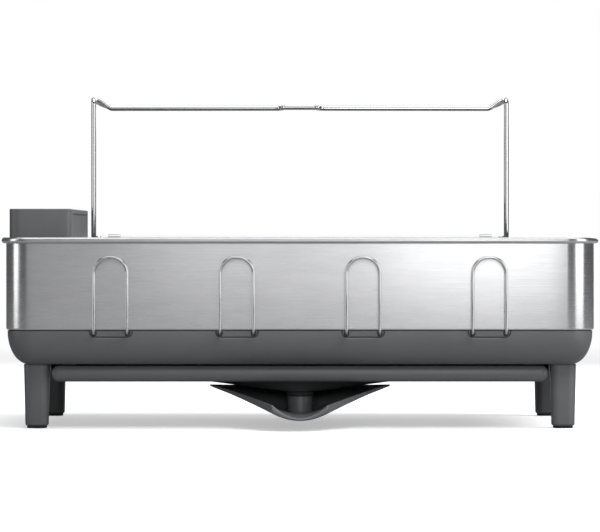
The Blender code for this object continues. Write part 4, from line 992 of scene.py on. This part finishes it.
# %% Make the plate rack
plate_low, plate_high = corners_of("plate_frame")
PLATE_WIRE, TINE_WIRE, PLATE_CORNER = 0.0045, 0.0032, 0.020
plate_half = PLATE_WIRE / 2
plate_z = (plate_low[2] + plate_high[2]) / 2
ring_line = boxed(plate_low[:2] + plate_half, plate_high[:2] - plate_half, PLATE_CORNER,
                  [(0, plate_z)], 12)[0]
place("plate_ring", wire_grid(ring_line, plate_half, 24, loop=True), "plate_rack", "wire_chrome",
      "plate_frame", loop_rows=True)
for number in range(1, 6):
    low, high = corners_of(f"plate_cross_{number}")
    x, z = (low[0] + high[0]) / 2, (low[2] + high[2]) / 2
    line = np.linspace((x, low[1], z), (x, high[1], z), 6)
    place(f"cross_wire_{number}", wire_grid(line, TINE_WIRE / 2, 20), "plate_rack", "wire_chrome",
          f"plate_cross_{number}", capped=False)

TINES, PITCH, TINE_WIDTH, TINE_BEND, TINE_FOOT_BEND = 11, 0.0290, 0.0130, 0.0058, 0.0045
for name in ("front", "rear"):
    low, high = corners_of(f"plate_tines_{name}")
    y, bottom, top = (low[1] + high[1]) / 2, low[2] + TINE_WIRE / 2, high[2] - TINE_WIRE / 2
    first = plate_low[0] + plate_half + 0.020
    one = np.array([(0, bottom), (0, top), (TINE_WIDTH, top), (TINE_WIDTH, bottom)])
    row = (one + np.stack([np.arange(TINES) * PITCH, np.zeros(TINES)], axis=1)[:, None]).reshape(-1, 2)
    corners = np.concatenate([[(low[0], bottom)], row + [first, 0], [(high[0], bottom)]])
    bends = np.tile([TINE_FOOT_BEND, TINE_BEND, TINE_BEND, TINE_FOOT_BEND], TINES)
    line = np.insert(softened(corners, np.r_[0, bends, 0], 8), 1, y, axis=1)
    place(f"tine_row_{name}", wire_grid(line, TINE_WIRE / 2, 16), "plate_rack", "wire_chrome",
          f"plate_tines_{name}", capped=False)
    for side in ("left", "right"):
        low, high = corners_of(f"plate_foot_{name}_{side}")
        centre = (low + high) / 2
        foot_profile = softened([(0, low[2]), (0.0046, low[2]), (0.0053, low[2] + 0.004),
                                 (0.0046, high[2]), (0, high[2])], (0, 0.0010, 0.002, 0.0012, 0), 5)
        foot_grid = turned_grid(foot_profile, (centre[0], centre[1], 0), 36)
        place(f"rack_foot_{name}_{side}", foot_grid, "plate_rack", "pad_rubber",
              f"plate_foot_{name}_{side}", capped=False)
print("tines:", 2 * TINES, "at a pitch of", PITCH * 1000, "mm")

# %% [markdown]
# ## Pieces that stay as they are
#
# The two rails under the tub are plain angles with flat faces, so the mechanical nodes are
# already right. They only take the tub's plastic.

# %% Finish the rails
for side in ("left", "right"):
    rail = frame["nodes"][f"tray_rail_{side}"]
    rail.data.materials.clear()
    rail.data.materials.append(FINISHES["base_plastic"])

# %% [markdown]
# ## Floor, light and camera
#
# The rack stands on a plain white floor that fades into a white surround. Floor and surround show
# white to the camera and are darker to everything else, so that the polished steel has something
# dark to mirror.
#
# The light is a studio's, in soft panels. Steel only mirrors, and dull plastic mostly scatters, so
# each has panels of its own. Six show only in mirror reflections, and on the plastic as a faint
# sheen: three in front, brighter towards the right, grade the flat steel from dark to bright, and
# one on the right and two on the left draw the bright stripe down each round corner. Three give
# only scattered light, which steel doesn't show: low in front, high in front, and high on the
# right. The ones overhead and behind do both.

# %% The floor
FLOOR_SIDES, FLOOR_RADII, FADE_SPAN = 64, (0.0, 0.4, 1.0, 2.0, 3.5), (1.0, 2.8)
floor_angle = np.linspace(0, 2 * np.pi, FLOOR_SIDES, endpoint=False)
floor_radius = np.array(FLOOR_RADII)[:, None]
floor_grid = np.stack([floor_radius * np.cos(floor_angle), floor_radius * np.sin(floor_angle),
                       np.zeros((len(FLOOR_RADII), FLOOR_SIDES))], axis=2)
floor_mesh = bpy.data.meshes.new("floor")
ring = np.arange(len(FLOOR_RADII) - 1)[:, None] * FLOOR_SIDES
index = ring + np.arange(FLOOR_SIDES)
beside = ring + (np.arange(FLOOR_SIDES) + 1) % FLOOR_SIDES
cells = np.stack([index, index + FLOOR_SIDES, beside + FLOOR_SIDES, beside], axis=2).reshape(-1, 4)
floor_mesh.from_pydata(floor_grid.reshape(-1, 3), [], cells.tolist())
floor = bpy.data.objects.new("floor", floor_mesh)
bpy.context.scene.collection.objects.link(floor)
floor_white, tree, shader = new_material("floor_white", (0.86, 0.86, 0.865), 0.9)
fading = tree.nodes.new("ShaderNodeTexCoord")
length = tree.nodes.new("ShaderNodeVectorMath")
length.operation = "LENGTH"
tree.links.new(fading.outputs["Object"], length.inputs[0])
spread(tree, length.outputs["Value"], 1.0, 0.0, shader.inputs["Alpha"], FADE_SPAN)
shader.inputs["Emission Color"].default_value = (1.0, 1.0, 1.0, 1.0)
SEEN_WHITE, MIRRORED_GREY, GLOW = (0.90, 0.90, 0.905), (0.32, 0.32, 0.325), 0.44
camera_ray = tree.nodes.new("ShaderNodeLightPath").outputs["Is Camera Ray"]
spread(tree, camera_ray, 0.0, GLOW, shader.inputs["Emission Strength"], (0.0, 1.0))
shaded(tree, camera_ray, MIRRORED_GREY, SEEN_WHITE, shader.inputs["Base Color"], (0.0, 1.0))
floor_mesh.materials.append(floor_white)

# %% The lights
def panel(name, place, aim, width, height, power, scattered=True, mirrored=True):
    """A rectangular soft light at a place, turned to its aim, that the camera doesn't see. It can
    be left out of scattered light or of mirror reflections."""
    data = bpy.data.lights.new(name, "AREA")
    data.shape, data.size, data.size_y = "RECTANGLE", width, height
    data.energy = power
    light = bpy.data.objects.new(name, data)
    direction = np.array(aim, float) - np.array(place, float)
    yaw = np.arctan2(direction[0], direction[1])
    tilt = np.arctan2(direction[2], np.hypot(*direction[:2]))
    light.rotation_euler = (np.pi / 2 + tilt, 0, -yaw)
    light.location = place
    light.visible_camera = False
    light.visible_diffuse, light.visible_glossy = scattered, mirrored
    bpy.context.scene.collection.objects.link(light)


AIM_Z = 0.14
for name, x, width, power in (("front_right", 0.24, 0.25, 1.9), ("front_middle", 0.06, 0.50, 1.6),
                              ("front_left", -0.42, 1.00, 1.05)):
    panel(name, (x, -1.20, 0.50), (x, middle_y, AIM_Z), width, 0.9, power, scattered=False)
for name, x, y, width, power in (("left_strip", -1.21, -0.32, 0.36, 2.2),
                                 ("left_halo", -1.22, -0.34, 0.60, 1.1),
                                 ("right_strip", 1.09, -0.66, 0.66, 6.0)):
    aim = (np.sign(x) * 0.25, middle_y, AIM_Z)
    panel(name, (x, y, 0.40), aim, width, 1.1, power, scattered=False)
mid = (0.0, middle_y, AIM_Z)
panel("key_low", (0.0, -1.60, 0.34), (0.0, middle_y, 0.04), 0.9, 0.24, 7.0, mirrored=False)
panel("key_high", (0.5, -1.10, 1.20), mid, 1.0, 0.6, 11.0, mirrored=False)
panel("side_high", (1.30, -0.20, 1.20), mid, 0.8, 0.8, 17.0, mirrored=False)
panel("top_panel", (0.0, 0.0, 1.45), mid, 1.8, 1.4, 16.0)
panel("rear_panel", (0.3, 1.60, 0.80), mid, 1.6, 1.0, 9.0)

# %% The surround
world = bpy.data.worlds.new("studio")
world.use_nodes = True
bpy.context.scene.world = world
surround = world.node_tree
seen, felt = surround.nodes["Background"], surround.nodes.new("ShaderNodeBackground")
for background, colour, strength in ((seen, (1.0, 1.0, 1.0, 1.0), 1.0), (felt, (0.95, 0.97, 1.0, 1.0), 0.12)):
    background.inputs["Color"].default_value = colour
    background.inputs["Strength"].default_value = strength
ray, chosen = surround.nodes.new("ShaderNodeLightPath"), surround.nodes.new("ShaderNodeMixShader")
surround.links.new(ray.outputs["Is Camera Ray"], chosen.inputs["Fac"])
surround.links.new(felt.outputs["Background"], chosen.inputs[1])
surround.links.new(seen.outputs["Background"], chosen.inputs[2])
surround.links.new(chosen.outputs["Shader"], surround.nodes["World Output"].inputs["Surface"])
bpy.context.scene.view_settings.view_transform = "Standard"

# %% The camera, level, with a long lens whose picture is shifted down to the rack
EYE_AWAY, EYE_HEIGHT = 4.075, 0.183
camera_data = bpy.data.cameras.new("camera")
camera_data.lens, camera_data.sensor_width = 249.2, 36.0
camera_data.shift_y = -0.0517
camera_data.clip_end = 50.0
camera = bpy.data.objects.new("camera", camera_data)
camera.location = (0.0, middle_y - EYE_AWAY, EYE_HEIGHT)
camera.rotation_euler = (np.pi / 2, 0, 0)
bpy.context.scene.collection.objects.link(camera)
bpy.context.scene.camera = camera
